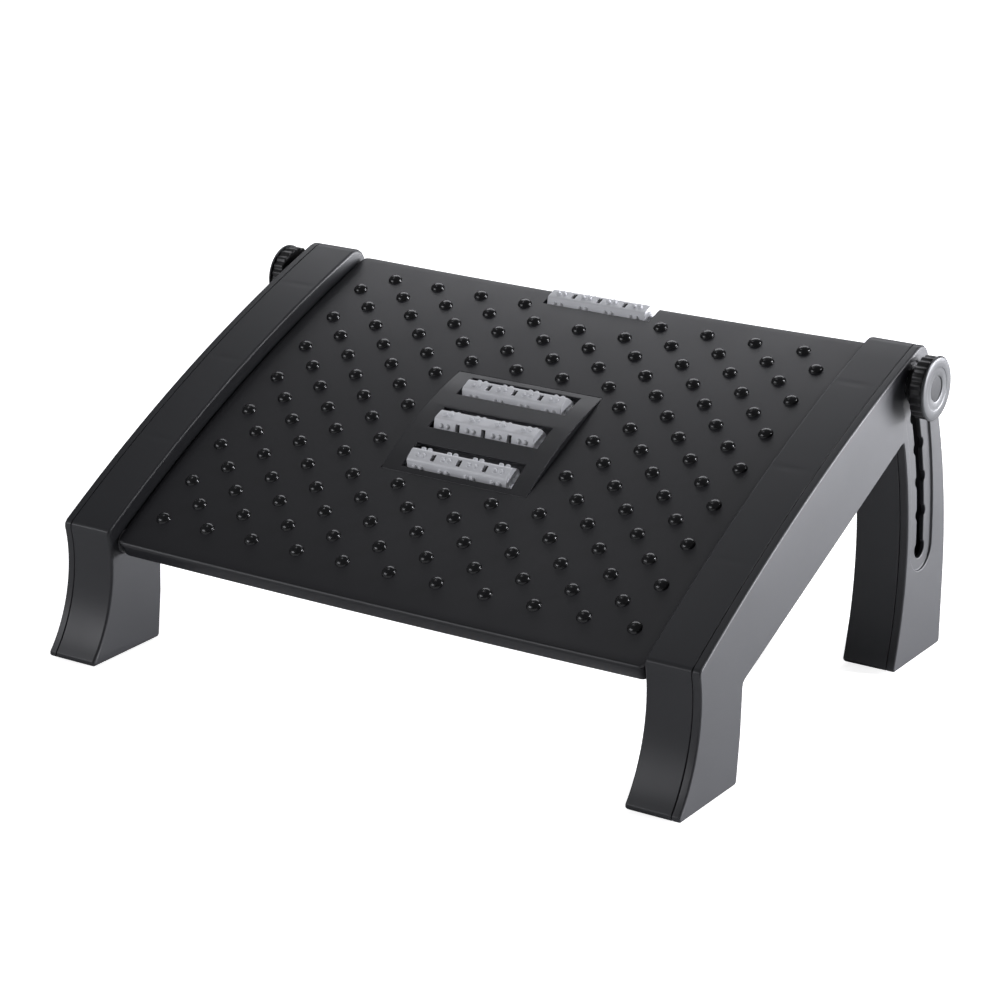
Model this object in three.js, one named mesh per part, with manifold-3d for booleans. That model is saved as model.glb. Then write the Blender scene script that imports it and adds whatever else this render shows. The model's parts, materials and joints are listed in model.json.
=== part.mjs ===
// A tilting footrest for use under a desk. Two hollow leg frames stand on rubber pads. An arched deck
// hangs between them: it turns on two pins at the front, and two hand knobs at the back clamp it in one
// of six seats of a notched slot. Three studded rollers turn in a raised panel, a fourth in the rear edge.
//
// Millimetres. X runs to the right, Y to the back, Z up, with the origin on the floor under the middle.

import * as THREE from "three";
import { mergeVertices } from "three/addons/utils/BufferGeometryUtils.js";
import Module from "manifold-3d";

const wasm = await Module();
wasm.setup();

// Leg frames
const frameSpan = 480; // over the outer faces of the two frames
const frameWidth = 38; // one frame, across
const frameDepth = 354; // from toe to heel
const frontFootLength = 69.5;
const rearLegThick = 70.8; // at the foot
const waistRadius = 97.6; // of the hollow front edge
const waistHeight = 66;
const waistSetback = 22.12; // from the toe to the narrowest point of the front edge
const kneeHeight = 65.6; // where the front leg meets the rail's lower edge
const kneeSetback = 51.7; // from the narrowest point of the front edge to the knee
const frontLegBow = 1.2; // how far the back of the front leg is hollowed
const undersideAngle = 24.5; // degrees, the rail's lower edge
const heelStraight = 50; // height over which the heel's edge is upright
const heelRadius = 345; // of the rear edge above that
const railRise = 9.8; // rail top above the edge of the deck
const railFrontRound = 5;
const railRearRound = 12;
const kneeRound = 4;
const peakRound = 2; // where the rail's lower edge meets the rear leg
const footRound = 2.4;
const frameWall = 2.6;
const coverWidth = 6; // the outer cover's share of the frame's width
const outerEdgeRound = 1.2;
const innerEdgeRound = 2;
const frameRibWall = 2;
const frameRibShares = [0.3, 0.6]; // of the way along the rail, from the pivot to the clamp
const legRibHeights = [33, 56]; // in the front and the rear leg
const coverLipLength = 3;
const coverLipWall = 1.3;

// Rubber foot pads
const padProud = 1;
const padSink = 1.5;
const padMargin = 6;

// Deck
const archRadius = 1328; // of the deck's upper face, front to back
const dish = 1.95; // how far the middle of the deck lies below its sides
const deckSideGap = 2;
const deckFrontReach = 15.85; // of the front edge in front of the pivot, along the arch
const deckRearReach = 20.65; // of the rear edge behind the clamp
const deckPlate = 3;
const lipDepth = 9.5;
const lipWall = 3;
const lipRound = 2.5;
const sideWall = 3;
const sideDepth = 17;
const sideRamp = 16;
const cornerRound = 6;
const deckRibWall = 2;
const deckRibDepth = 12;
const deckRibPlaces = [84, 143]; // out from the middle
const deckCrossRibs = [-104]; // along the arch

// Nubs on the deck, in staggered rows
const nubRows = 16;
const nubEndMargin = 24.53; // from the first and the last row to the deck's edges
const nubSideMargin = 21; // from the outermost nubs to the deck's sides
const nubsAcross = 10; // the outermost nub's place, in half pitches
const nubMiddle = 5.65; // arc length from the crown to the pattern's middle
const nubRadius = 4.8;
const nubHeight = 3;
const nubSink = 1; // how far a nub reaches into the plate
const nubSides = 8;
const nubClear = 3; // least distance from a nub's middle to an opening

// Pivots and clamps
const pivotHeight = 79;
const pivotSetback = 37; // from the toe
const clampSetback = 37; // from the lowest seat to the heel
const seatCount = 6;
const seatStep = 5; // degrees from one seat to the next
const pivotDepth = 8.7; // pivot axis below the deck's upper face
const clampDepth = 9.8; // clamp axis below the deck's upper face
const legMargin = 21.7; // from the slot's middle to the front of the rear leg
const neckWidth = 8;
const seatWidth = 11.5;
const innerSlotWidth = 9;
const trackWidth = 31; // sunk band round the slot
const trackSink = 1.5;
const trackWall = 3;
const pinRadius = 4;
const pinLength = 52;
const pinHeadRadius = 7;
const pinHead = 3;
const pivotBossLength = 22;
const pivotBossRadius = 7.2;
const bushWall = 2;
const bushBossWall = 2.4;
const boltRadius = 3;
const boltHeadWidth = 10; // across the flats
const boltHead = 4;
const clampBossRadius = 8;
const clampBossLength = 22;
const spacerRadius = 8.5;
const washerRadius = 9;
const washerThick = 1.2;

// Hand knobs
const knobRadius = 20.6;
const knobThick = 8.5;
const knobFlutes = 22;
const fluteDepth = 0.9;
const hubRadius = 12;
const hubLength = 6;
const capRadius = 21.2;
const capThick = 2;
const capEdge = 1;
const capRingRadius = 14;
const capRing = 1;
const capDishRadius = 7;
const capDish = 0.8;
const nutWidth = 10; // across the flats
const nutLength = 8;
const boltBeyondNut = 1;

// Roller panel and its keeper
const panelWidth = 111.4;
const panelLength = 102;
const panelMiddle = 4.95; // arc length from the crown
const panelRise = 4;
const panelWall = 2;
const panelSeat = 1.6; // depth of the ledge in the deck
const panelFlange = 5;
const panelLip = 0.6; // thickness at the panel's front and rear edge
const windowMargin = 13.7; // from the windows' ends to the panel's sides
const windowLength = 21;
const cradleWall = 3;
const keeperDepth = 6.4; // keeper's upper face below the deck's
const keeperThick = 2.4;
const keeperMargin = 5;
const keeperSlotMargin = 1.8;
const bossRadius = 3;
const panelBossSet = 2.3; // from a cradle to the middle of a screw boss
const panelScrewAlong = 17.85;

// Rollers
const rollerPlay = 3.5; // at each end of a roller, in its window
const rollerRadius = 9.3; // to the corners of its six sides
const rollerPitch = 35.75;
const rollerShift = -1.8; // end float taken up to the left
const rollerSink = 5.3; // axis below the panel's face
const rollerSpins = { front: 73, middle: -4, rear: 64, edge: 62 }; // degrees, as they stand
const rollerCornerRound = 1.5;
const stubRadius = 2.2;
const stubLength = 7;
const studMargin = 8.5; // from the roller's ends to the outermost pairs
const studPair = 5;
const studWidth = 3.2;
const studHeight = 1.3;
const rollerSlotWidth = 3;
const rollerSlotLength = 5;
const rollerSlotDepth = 3;

// Edge roller in the notch
const notchLength = 17;
const edgeRollerSetback = 7; // axis in front of the rear edge
const edgeRollerDepth = 5;
const edgeKeeperLength = 7;
const edgeKeeperThick = 2.4;
const edgeBossSet = 3; // from the cradle to the screw boss
const edgeBossLength = 5;

// Screws
const screwRadius = 1.5;
const screwHeadRadius = 2.9;
const screwHead = 1.8;
const panelScrewLength = 7;
const edgeScrewLength = 6;
const frameScrewLength = 20;
const frameScrewSink = 5;
const frameBossWall = 1.6;
const shellBossLength = 8;
const railScrewShares = [0.182, 0.454, 0.725]; // of the way along the rail, from the pivot to the clamp
const railScrewDrop = 4.6; // below the line from the pivot to the clamp
const heelScrewHeight = 30;

const gap = 0.3; // between pieces that touch
const running = 0.25; // round what turns
const reach = 60; // of a tool that passes right through

// Values that follow from the sizes above
const radians = THREE.MathUtils.degToRad;
const outerFace = frameSpan / 2;
const innerFace = outerFace - frameWidth;
const seamFace = outerFace - coverWidth;
const deckHalf = innerFace - deckSideGap;
const pivotY = -frameDepth / 2 + pivotSetback;
const lastSeat = seatStep * (seatCount - 1);
const restTilt = radians(lastSeat);
const trackFace = outerFace - trackSink;
const pinEnd = deckHalf - pivotBossLength + 1;
const pinShoulder = pinEnd + pinLength;
const bushRadius = pinRadius + running + bushWall;
const nubBase = (nubRadius * (nubHeight + nubSink)) / nubHeight;
const hexStretch = 1 / Math.cos(Math.PI / 6);
const screwHole = screwRadius + gap;
const frameBossRadius = screwHeadRadius + gap + frameBossWall;
const shellBossEnd = innerFace + frameScrewSink + shellBossLength;
const clampRadius = frameDepth - pivotSetback - clampSetback;
const deckFront = clampRadius / 2 + deckFrontReach; // arc length from the crown to the front edge
const deckRear = clampRadius / 2 + deckRearReach; // arc length from the crown to the rear edge
const nubRowPitch = (deckFront + deckRear - 2 * nubEndMargin) / (nubRows - 1);
const nubHalfPitch = (deckHalf - nubSideMargin) / nubsAcross; // from a nub to its neighbour in the next row
const windowWidth = panelWidth - 2 * windowMargin;
const rollerLength = windowWidth - 2 * rollerPlay;
const studPitch = (rollerLength - 2 * studMargin) / 3;
const cradleOutside = windowWidth / 2 + cradleWall;
const panelScrewAcross = cradleOutside + panelBossSet;
const stubReach = rollerLength / 2 + stubLength + Math.abs(rollerShift) + gap;
const edgeAxis = deckRear - edgeRollerSetback;
const edgeScrewAcross = cradleOutside + edgeBossSet + bossRadius;
const edgeKeeperTop = -edgeRollerDepth - stubRadius - running;

// The arch's centre, in the deck's own frame: the pivot at the origin, the clamp bolt on the y axis
const pivotSpoke = archRadius - pivotDepth;
const clampSpoke = archRadius - clampDepth;
const crownY = (clampRadius ** 2 + pivotSpoke ** 2 - clampSpoke ** 2) / (2 * clampRadius);
const crownZ = -Math.sqrt(pivotSpoke ** 2 - crownY ** 2);

// Closed geometries as solids, and solids as geometries

function solid(geometry) {
  const bare = geometry.index ? geometry.toNonIndexed() : geometry.clone();
  bare.deleteAttribute("normal");
  bare.deleteAttribute("uv");
  const merged = mergeVertices(bare, 1e-4);
  return new wasm.Manifold(
    new wasm.Mesh({
      numProp: 3,
      vertProperties: merged.attributes.position.array,
      triVerts: new Uint32Array(merged.index.array),
    }),
  );
}

function geometryOf(body) {
  const mesh = body.getMesh();
  const geometry = new THREE.BufferGeometry();
  geometry.setAttribute("position", new THREE.BufferAttribute(new Float32Array(mesh.vertProperties), 3));
  geometry.setIndex(new THREE.BufferAttribute(new Uint32Array(mesh.triVerts), 1));
  const faceted = geometry.toNonIndexed();
  faceted.computeVertexNormals();
  return faceted;
}

function join(bodies) {
  return bodies.reduce((whole, body) => whole.add(body));
}

function cut(body, tools) {
  return tools.reduce((rest, tool) => rest.subtract(tool), body);
}

// Outlines lie in the side view, with x to the back and y up, and are carried across the part's x

const sideView = new THREE.Matrix4().makeBasis(
  new THREE.Vector3(0, 1, 0),
  new THREE.Vector3(0, 0, 1),
  new THREE.Vector3(1, 0, 0),
);

function point(back, up, fillet = 0) {
  const corner = new THREE.Vector2(back, up);
  corner.fillet = fillet;
  return corner;
}

function arc(centre, radius, from, to, steps) {
  return Array.from({ length: steps + 1 }, (_, i) => {
    const angle = from + ((to - from) * i) / steps;
    return point(centre.x + radius * Math.cos(angle), centre.y + radius * Math.sin(angle));
  });
}

// Replaces each corner that has a round by an arc tangent to its two sides
function withRounds(corners) {
  const points = [];
  corners.forEach((corner, i) => {
    if (!corner.fillet) {
      points.push(corner);
      return;
    }
    const before = corners.at(i - 1).clone().sub(corner).normalize();
    const after = corners[(i + 1) % corners.length].clone().sub(corner).normalize();
    const half = Math.acos(before.dot(after)) / 2;
    const middle = before.clone().add(after).normalize();
    const centre = corner.clone().addScaledVector(middle, corner.fillet / Math.sin(half));
    const first = corner.clone().addScaledVector(before, corner.fillet / Math.tan(half)).sub(centre);
    const last = corner.clone().addScaledVector(after, corner.fillet / Math.tan(half)).sub(centre);
    const sweep = Math.atan2(first.cross(last), first.dot(last));
    const start = Math.atan2(first.y, first.x);
    points.push(...arc(centre, corner.fillet, start, start + sweep, Math.round(1 + corner.fillet / 4)));
  });
  return points;
}

// Where two lines meet, each given by a start and a unit direction
function crossing(one, other) {
  const turn = one.along.cross(other.along);
  if (Math.abs(turn) < 1e-6) return other.start.clone();
  const share = other.start.clone().sub(one.start).cross(other.along) / turn;
  return one.start.clone().addScaledVector(one.along, share);
}

// The outline, which runs anticlockwise, with every side moved inwards by a distance. A side that
// would turn round is dropped, and its neighbours meet instead.
function inset(outline, distance) {
  const sides = outline.map((start, i) => {
    const along = outline[(i + 1) % outline.length].clone().sub(start).normalize();
    const inwards = new THREE.Vector2(-along.y, along.x);
    return { start: start.clone().addScaledVector(inwards, distance), along };
  });
  while (sides.length > 2) {
    const corners = sides.map((side, i) => crossing(sides.at(i - 1), side));
    const lengths = sides.map((side, i) =>
      corners[(i + 1) % corners.length].clone().sub(corners[i]).dot(side.along),
    );
    const shortest = lengths.indexOf(Math.min(...lengths));
    if (lengths[shortest] > 0.01) return corners;
    sides.splice(Math.max(shortest, 0), 1);
  }
  throw new Error("nothing is left of the outline");
}

// An outline carried across from the first of the stations to the last, with a ring of points at each
function slabGeometry(outline, stations) {
  const steps = stations.length - 1;
  const shape = new THREE.Shape(outline);
  const geometry = new THREE.ExtrudeGeometry(shape, { depth: steps, steps, bevelEnabled: false });
  const position = geometry.getAttribute("position");
  for (let i = 0; i < position.count; i++) {
    position.setZ(i, stations[Math.round(position.getZ(i))]);
  }
  return geometry.applyMatrix4(sideView);
}

function slab(outline, from, to) {
  return solid(slabGeometry(outline, [from, to]));
}

// A slab with both rims rounded over
function roundedSlab(outline, from, to, round) {
  const geometry = new THREE.ExtrudeGeometry(new THREE.Shape(outline), {
    depth: to - from - 2 * round,
    bevelThickness: round,
    bevelSize: round,
    bevelOffset: -round,
    bevelSegments: 2,
  });
  return solid(geometry.applyMatrix4(sideView).translate(from + round, 0, 0));
}

function rod(place, radius, from, to, sides) {
  const geometry = new THREE.CylinderGeometry(radius, radius, Math.abs(to - from), sides);
  return solid(geometry.rotateZ(-Math.PI / 2).translate((from + to) / 2, place.x, place.y));
}

// A profile of radius and distance across, turned about a line across through a place
function turned(profile, place, sides) {
  const points = profile.map(([radius, across]) => new THREE.Vector2(radius, across));
  const geometry = new THREE.LatheGeometry(points, sides);
  return solid(geometry.rotateZ(-Math.PI / 2).translate(0, place.x, place.y));
}

function ring(place, bore, radius, from, to) {
  const profile = [
    [bore, from],
    [radius, from],
    [radius, to],
    [bore, to],
    [bore, from],
  ];
  return turned(profile, place, 14);
}

function block(width, length, height, x, y, z) {
  return solid(new THREE.BoxGeometry(width, length, height).translate(x, y, z));
}

// Outline of a leg frame

const pivot = point(pivotY, pivotHeight);
const deckPivot = point(0, 0);
const deckClamp = point(clampRadius, 0);

// The meeting of two circles that lies to the right when one looks from the first centre to the second
function meeting(centre, radius, other, otherRadius) {
  const line = other.clone().sub(centre);
  const along = (line.lengthSq() + radius ** 2 - otherRadius ** 2) / (2 * line.length());
  const aside = Math.sqrt(radius ** 2 - along ** 2);
  line.normalize();
  return point(centre.x + line.x * along + line.y * aside, centre.y + line.y * along - line.x * aside);
}

function angleAbout(centre, place) {
  return Math.atan2(place.y - centre.y, place.x - centre.x);
}

function frameOutline() {
  const waistY = -frameDepth / 2 + waistSetback;
  const waistCentre = point(waistY - waistRadius, waistHeight);
  const toeY = waistCentre.x + Math.sqrt(waistRadius ** 2 - (waistHeight - padProud) ** 2);
  const toe = point(toeY, padProud, footRound);
  const heel = point(frameDepth / 2, padProud, footRound);
  const heelCentre = point(heel.x - heelRadius, heelStraight);

  // The rail's top is an arc about the centre of the deck's own arch
  const archCentre = point(crownY, crownZ).rotateAround(deckPivot, restTilt).add(pivot);
  const railRadius = archRadius + railRise;
  const front = meeting(archCentre, railRadius, waistCentre, waistRadius);
  const rear = meeting(archCentre, railRadius, heelCentre, heelRadius);

  // The front leg's back edge, and the knee where it meets the rail's lower edge
  const frontFootEnd = point(-frameDepth / 2 + frontFootLength, padProud, footRound);
  const knee = point(waistY + kneeSetback, kneeHeight, kneeRound);
  const bow = frontFootEnd.clone().lerp(knee, 0.5);
  bow.x += frontLegBow;

  // The peak of the opening, on a circle about the pivot that clears the slot
  const legRadius = clampRadius - legMargin;
  const slope = radians(undersideAngle);
  const offset = knee.clone().sub(pivot).rotateAround(deckPivot, -slope);
  const peakTurned = point(Math.sqrt(legRadius ** 2 - offset.y ** 2), offset.y);
  const peak = peakTurned.rotateAround(deckPivot, slope).add(pivot);
  const rearFootStart = point(heel.x - rearLegThick, padProud, footRound);
  const legTop = angleAbout(pivot, peak);
  const legFoot = Math.asin((padProud - pivotHeight) / legRadius);

  return withRounds([
    toe,
    frontFootEnd,
    bow,
    knee,
    point(peak.x, peak.y, peakRound),
    ...arc(pivot, legRadius, legTop, legFoot, 5).slice(1, -1),
    rearFootStart,
    heel,
    ...arc(heelCentre, heelRadius, 0, angleAbout(heelCentre, rear), 4).slice(0, -1),
    point(rear.x, rear.y, railRearRound),
    ...arc(archCentre, railRadius, angleAbout(archCentre, rear), angleAbout(archCentre, front), 5).slice(1, -1),
    point(front.x, front.y, railFrontRound),
    ...arc(waistCentre, waistRadius, angleAbout(waistCentre, front), angleAbout(waistCentre, toe), 6).slice(1, -1),
  ]);
}

// Places on a leg frame

function seatPlace(degrees) {
  return point(clampRadius, 0).rotateAround(deckPivot, radians(degrees)).add(pivot);
}

function railPlace(along, drop) {
  return point(along, -drop).rotateAround(deckPivot, restTilt).add(pivot);
}

function frameScrewSpots() {
  const rail = railScrewShares.map((share) => railPlace(share * clampRadius, railScrewDrop));
  return [...rail, point(frameDepth / 2 - rearLegThick / 2, heelScrewHeight)];
}

// A band that follows the clamp bolt's path, with round ends
function slotBand(width, from, to) {
  const outer = arc(pivot, clampRadius + width / 2, 0, restTilt, 5);
  const inner = arc(pivot, clampRadius - width / 2, restTilt, 0, 5);
  const ends = [0, lastSeat].map((degrees) => rod(seatPlace(degrees), width / 2, from, to, 12));
  return join([slab([...outer, ...inner], from, to), ...ends]);
}

function notchedSlot(from, to) {
  const seats = Array.from({ length: seatCount }, (_, i) =>
    rod(seatPlace(seatStep * i), seatWidth / 2, from, to, 10),
  );
  return join([slotBand(neckWidth, from, to), ...seats]);
}

function frameShell(outline) {
  const inside = inset(outline, frameWall);
  const whole = roundedSlab(outline, innerFace, outerFace, innerEdgeRound);
  const body = cut(whole, [
    slab(inset(outline, -1), seamFace, outerFace + 1),
    slab(inside, innerFace + frameWall, outerFace + 1),
  ]);
  const spots = frameScrewSpots();
  const bosses = spots.map((spot) => rod(spot, frameBossRadius, innerFace + 1, shellBossEnd, 8));
  const pivotBoss = rod(pivot, bushRadius + gap + bushBossWall, innerFace + 1, pinShoulder - gap, 16);
  const tools = spots.flatMap((spot) => [
    rod(spot, screwHeadRadius + gap, innerFace - 1, innerFace + frameScrewSink, 8),
    rod(spot, screwHole, innerFace, outerFace, 6),
  ]);
  return cut(join([body, ...bosses, pivotBoss, ...frameRibs(inside)]), [
    ...tools,
    slotBand(innerSlotWidth, innerFace - 1, outerFace),
    rod(pivot, bushRadius + gap, innerFace - 1, outerFace, 16),
    ...padPockets(),
  ]);
}

// Ribs that tie the rail's top wall to its lower one, and one across each leg
function frameRibs(inside) {
  const from = innerFace + 1;
  const to = seamFace - coverLipLength - 1;
  const middle = (from + to) / 2;
  const clip = slab(inset(inside, -frameWall / 2), from, to);
  const ribs = frameRibShares.map((share) => {
    const spot = railPlace(share * clampRadius, 0);
    const rib = new THREE.BoxGeometry(to - from, frameRibWall, 2 * reach).rotateX(restTilt);
    return solid(rib.translate(middle, spot.x, spot.y));
  });
  [-1, 1].forEach((side, i) => {
    ribs.push(block(to - from, frameDepth / 2, frameRibWall, middle, (side * frameDepth) / 3, legRibHeights[i]));
  });
  return ribs.map((rib) => rib.intersect(clip));
}

// Rubber pads, each let into a shallow pocket in a foot

function footPlans(margin) {
  const rearStart = frameDepth / 2 - rearLegThick;
  return {
    front: { from: -frameDepth / 2 + margin, to: -frameDepth / 2 + frontFootLength - margin },
    rear: { from: rearStart + margin, to: rearStart + rearLegThick - margin },
  };
}

function footBlock(plan, margin, low, high) {
  const corners = [
    point(plan.from, low, low < 0 ? 0 : padProud * 0.8),
    point(plan.to, low, low < 0 ? 0 : padProud * 0.8),
    point(plan.to, high),
    point(plan.from, high),
  ];
  return slab(withRounds(corners), innerFace + margin, seamFace - margin);
}

function padPockets() {
  const margin = padMargin - gap;
  return Object.values(footPlans(margin)).map((plan) => footBlock(plan, margin, -1, padProud + padSink));
}

function footPad(plan) {
  return footBlock(plan, padMargin, 0, padProud + padSink - gap);
}

// The outer cover: a plate with a rim, a lip that drops into the shell, and the notched slot
function frameCover(outline) {
  const start = seamFace + gap;
  const rimWall = frameWall + gap + coverLipWall;
  const whole = roundedSlab(outline, innerFace, outerFace, outerEdgeRound);
  const skin = cut(whole, [slab(inset(outline, -1), innerFace - 1, start)]);
  const lip = slab(inset(outline, frameWall + gap), start - coverLipLength, start + 1);
  const hollow = slab(inset(outline, rimWall), innerFace, outerFace - frameWall);
  const backing = slotBand(trackWidth + 2 * frameWall, trackFace - trackWall, outerFace - 1);
  const clip = slab(inset(outline, frameWall), innerFace, outerFace);
  const spots = frameScrewSpots();
  const bosses = spots.map((spot) =>
    rod(spot, screwHole + frameBossWall, shellBossEnd + gap, outerFace - 1, 8),
  );
  const pinStop = rod(pivot, pinHeadRadius, pinShoulder + pinHead + gap, outerFace - 1, 12);
  const bores = spots.map((spot) => rod(spot, screwHole, innerFace, outerFace - frameWall - 1, 6));
  return cut(join([cut(skin.add(lip), [hollow]), backing.intersect(clip), ...bosses, pinStop]), [
    slotBand(trackWidth, trackFace, outerFace + 1),
    notchedSlot(innerFace, outerFace + 1),
    ...bores,
  ]);
}

// Shapes that follow the deck's arch, in the deck's own frame

function archPoint(along, up, fillet = 0) {
  const angle = along / archRadius;
  const spoke = archRadius + up;
  return point(crownY + spoke * Math.sin(angle), crownZ + spoke * Math.cos(angle), fillet);
}

function dropAt(x) {
  return dish * (1 - (x / deckHalf) ** 2);
}

// Every second line between the nubs' rows or columns, with the two ends
function between(from, to, firstLine, pitch) {
  const lines = Array.from({ length: 2 * nubRows }, (_, i) => firstLine + 2 * pitch * (i - nubRows));
  const [low, high] = from < to ? [from, to] : [to, from];
  const inside = lines.filter((line) => line > low + 1 && line < high - 1);
  if (from > to) inside.reverse();
  return [from, ...inside, to];
}

function archRun(from, to, up) {
  return between(from, to, nubMiddle, nubRowPitch).map((along) => archPoint(along, up));
}

function stations(from, to) {
  return between(from, to, nubHalfPitch / 2, nubHalfPitch);
}

// Lowers a shape that follows the arch, most in the middle of the deck
function dished(geometry) {
  const position = geometry.getAttribute("position");
  for (let i = 0; i < position.count; i++) {
    const drop = dropAt(position.getX(i));
    const spoke = point(position.getY(i) - crownY, position.getZ(i) - crownZ).normalize();
    position.setY(i, position.getY(i) - drop * spoke.x);
    position.setZ(i, position.getZ(i) - drop * spoke.y);
  }
  return geometry;
}

// A slab between two heights over a stretch of the arch
function archSlab(x0, x1, from, to, low, high) {
  const outline = [...archRun(from, to, low), ...archRun(to, from, high)];
  return solid(dished(slabGeometry(outline, [x0, x1])));
}

// Sets a solid of revolution about the y axis upright on the arch
function upright(geometry, x, along, up) {
  const spot = archPoint(along, up - dropAt(x));
  return solid(geometry.rotateX(Math.PI / 2 - along / archRadius).translate(x, spot.x, spot.y));
}

function screwBore(x, along, low, high) {
  const bore = new THREE.CylinderGeometry(screwHole, screwHole, high - low, 6);
  return upright(bore, x, along, (low + high) / 2);
}

// A slot for a roller's stub axles, open to below
function stubSlot(along, up) {
  const radius = stubRadius + running;
  const spot = archPoint(along, up - dish);
  const low = archPoint(along, up - dish - reach / 4);
  const side = low.clone().sub(spot).setLength(radius).rotateAround(deckPivot, Math.PI / 2);
  const corners = [low.clone().sub(side), low.clone().add(side), spot.clone().add(side), spot.clone().sub(side)];
  return slab(corners, -stubReach, stubReach).add(rod(spot, radius, -stubReach, stubReach, 12));
}

// Deck

function deckSkin() {
  const outline = withRounds([
    archPoint(-deckFront, -lipDepth, 1),
    archPoint(-deckFront + lipWall, -lipDepth),
    ...archRun(-deckFront + lipWall, deckRear - lipWall, -deckPlate),
    archPoint(deckRear - lipWall, -lipDepth),
    archPoint(deckRear, -lipDepth, 1),
    archPoint(deckRear, 0, lipRound),
    ...archRun(deckRear, -deckFront, 0).slice(1, -1),
    archPoint(-deckFront, 0, lipRound),
  ]);
  return solid(dished(slabGeometry(outline, stations(-deckHalf, deckHalf))));
}

function deckSide(x0, x1) {
  const front = -deckFront + 1;
  const rear = deckRear - 1;
  const outline = [
    archPoint(front, -lipDepth),
    archPoint(front + sideRamp, -sideDepth),
    archPoint(0, -sideDepth),
    archPoint(rear - sideRamp, -sideDepth),
    archPoint(rear, -lipDepth),
    ...archRun(rear, front, -deckPlate / 2),
  ];
  return slab(outline, x0, x1);
}

// What is left of a square corner of the plan when its rounding disc is taken from it
function cornerTool(side, along, towards) {
  const disc = arc(point(-cornerRound, -cornerRound), cornerRound, 0, Math.PI / 2, 4);
  const corners = [point(1, 1), point(1, -cornerRound), ...disc, point(-cornerRound, 1)];
  const shape = new THREE.Shape(corners.map((corner) => point(corner.x * side, corner.y * towards)));
  const geometry = new THREE.ExtrudeGeometry(shape, { depth: reach, bevelEnabled: false });
  const spot = archPoint(along, 0);
  geometry.translate(0, 0, -reach * 0.8).rotateX(-along / archRadius);
  return solid(geometry.translate(side * deckHalf, spot.x, spot.y));
}

function nub(x, along) {
  const cone = new THREE.ConeGeometry(nubBase, nubHeight + nubSink, nubSides);
  return upright(cone, x, along, (nubHeight - nubSink) / 2);
}

// The nubs of a row stand opposite the spaces of its neighbours, and clear of the panel and the notch
function nubPlaces() {
  const places = [];
  for (let row = 0; row < nubRows; row++) {
    const along = nubMiddle + ((nubRows - 1) / 2 - row) * nubRowPitch;
    for (let i = -nubsAcross; i <= nubsAcross; i++) {
      const x = Math.abs(i) * nubHalfPitch;
      const onPanel = x < panelWidth / 2 + nubClear && Math.abs(along - panelMiddle) < panelLength / 2 + nubClear;
      const onNotch = x < windowWidth / 2 && along > deckRear - notchLength - nubRadius - nubClear;
      if ((row + i) % 2 !== 0 && !onPanel && !onNotch) places.push([i * nubHalfPitch, along]);
    }
  }
  return places;
}

function deckRibs() {
  const low = -deckRibDepth;
  const high = -deckPlate / 2;
  const lengthwise = deckRibPlaces.flatMap((place) =>
    [-place, place].map((x) =>
      archSlab(x - deckRibWall / 2, x + deckRibWall / 2, -deckFront + lipWall / 2, deckRear - lipWall / 2, low, high),
    ),
  );
  const keeperHalf = panelLength / 2 - panelFlange + keeperMargin + deckRibWall;
  const places = [...deckCrossRibs, panelMiddle - keeperHalf, panelMiddle + keeperHalf];
  const end = deckHalf - sideWall / 2;
  const crosswise = places.map((along) => {
    const from = along - deckRibWall / 2;
    const outline = [...archRun(from, from + deckRibWall, low), ...archRun(from + deckRibWall, from, high)];
    return solid(dished(slabGeometry(outline, stations(-end, end))));
  });
  return [...lengthwise, ...crosswise];
}

// The opening for the panel, with a ledge that carries the panel's flange
function panelOpening() {
  const halfWidth = panelWidth / 2;
  const halfLength = panelLength / 2;
  const clearance = (grow, low) =>
    archSlab(
      -halfWidth - grow,
      halfWidth + grow,
      panelMiddle - halfLength - grow,
      panelMiddle + halfLength + grow,
      low,
      reach / 4,
    );
  return [clearance(gap, -panelSeat), clearance(-panelFlange, -reach / 4)];
}

function deckBody() {
  const pieces = [
    deckSkin(),
    deckSide(-deckHalf, -deckHalf + sideWall),
    deckSide(deckHalf - sideWall, deckHalf),
    ...deckRibs(),
  ];
  const tools = [
    ...panelOpening(),
    archSlab(-windowWidth / 2, windowWidth / 2, deckRear - notchLength, deckRear + reach / 4, -reach, reach),
    stubSlot(edgeAxis, -edgeRollerDepth),
  ];
  for (const side of [-1, 1]) {
    pieces.push(rod(deckPivot, pivotBossRadius, side * deckHalf, side * (deckHalf - pivotBossLength), 16));
    pieces.push(rod(deckClamp, clampBossRadius, side * deckHalf, side * (deckHalf - clampBossLength), 16));
    tools.push(rod(deckPivot, pinRadius + gap, side * (deckHalf + 1), side * (pinEnd - 2), 12));
    tools.push(rod(deckClamp, boltRadius + gap, side * (deckHalf + 1), side * (deckHalf - clampBossLength - 1), 12));
    const pocketEnd = deckHalf - clampBossLength + boltHead + gap;
    tools.push(rod(deckClamp, (boltHeadWidth / 2) * hexStretch + gap, side * pocketEnd, side * (pocketEnd - 8), 6));

    const walls = [side * (windowWidth / 2), side * cradleOutside].sort((a, b) => a - b);
    const notchStart = deckRear - notchLength - deckRibWall;
    pieces.push(archSlab(...walls, notchStart, deckRear - 1, edgeKeeperTop + gap, -deckPlate / 2));
    const boss = new THREE.CylinderGeometry(bossRadius, bossRadius, edgeBossLength, 8);
    const x = side * edgeScrewAcross;
    pieces.push(upright(boss, x, edgeAxis, edgeKeeperTop + gap + edgeBossLength / 2));
    tools.push(screwBore(x, edgeAxis, edgeKeeperTop - 1, edgeKeeperTop + edgeScrewLength - edgeKeeperThick + gap));
    tools.push(cornerTool(side, -deckFront, -1), cornerTool(side, deckRear, 1));
  }
  const nubs = nubPlaces().map(([x, along]) => nub(x, along));
  return cut(join(pieces), tools).add(join(nubs));
}

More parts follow.
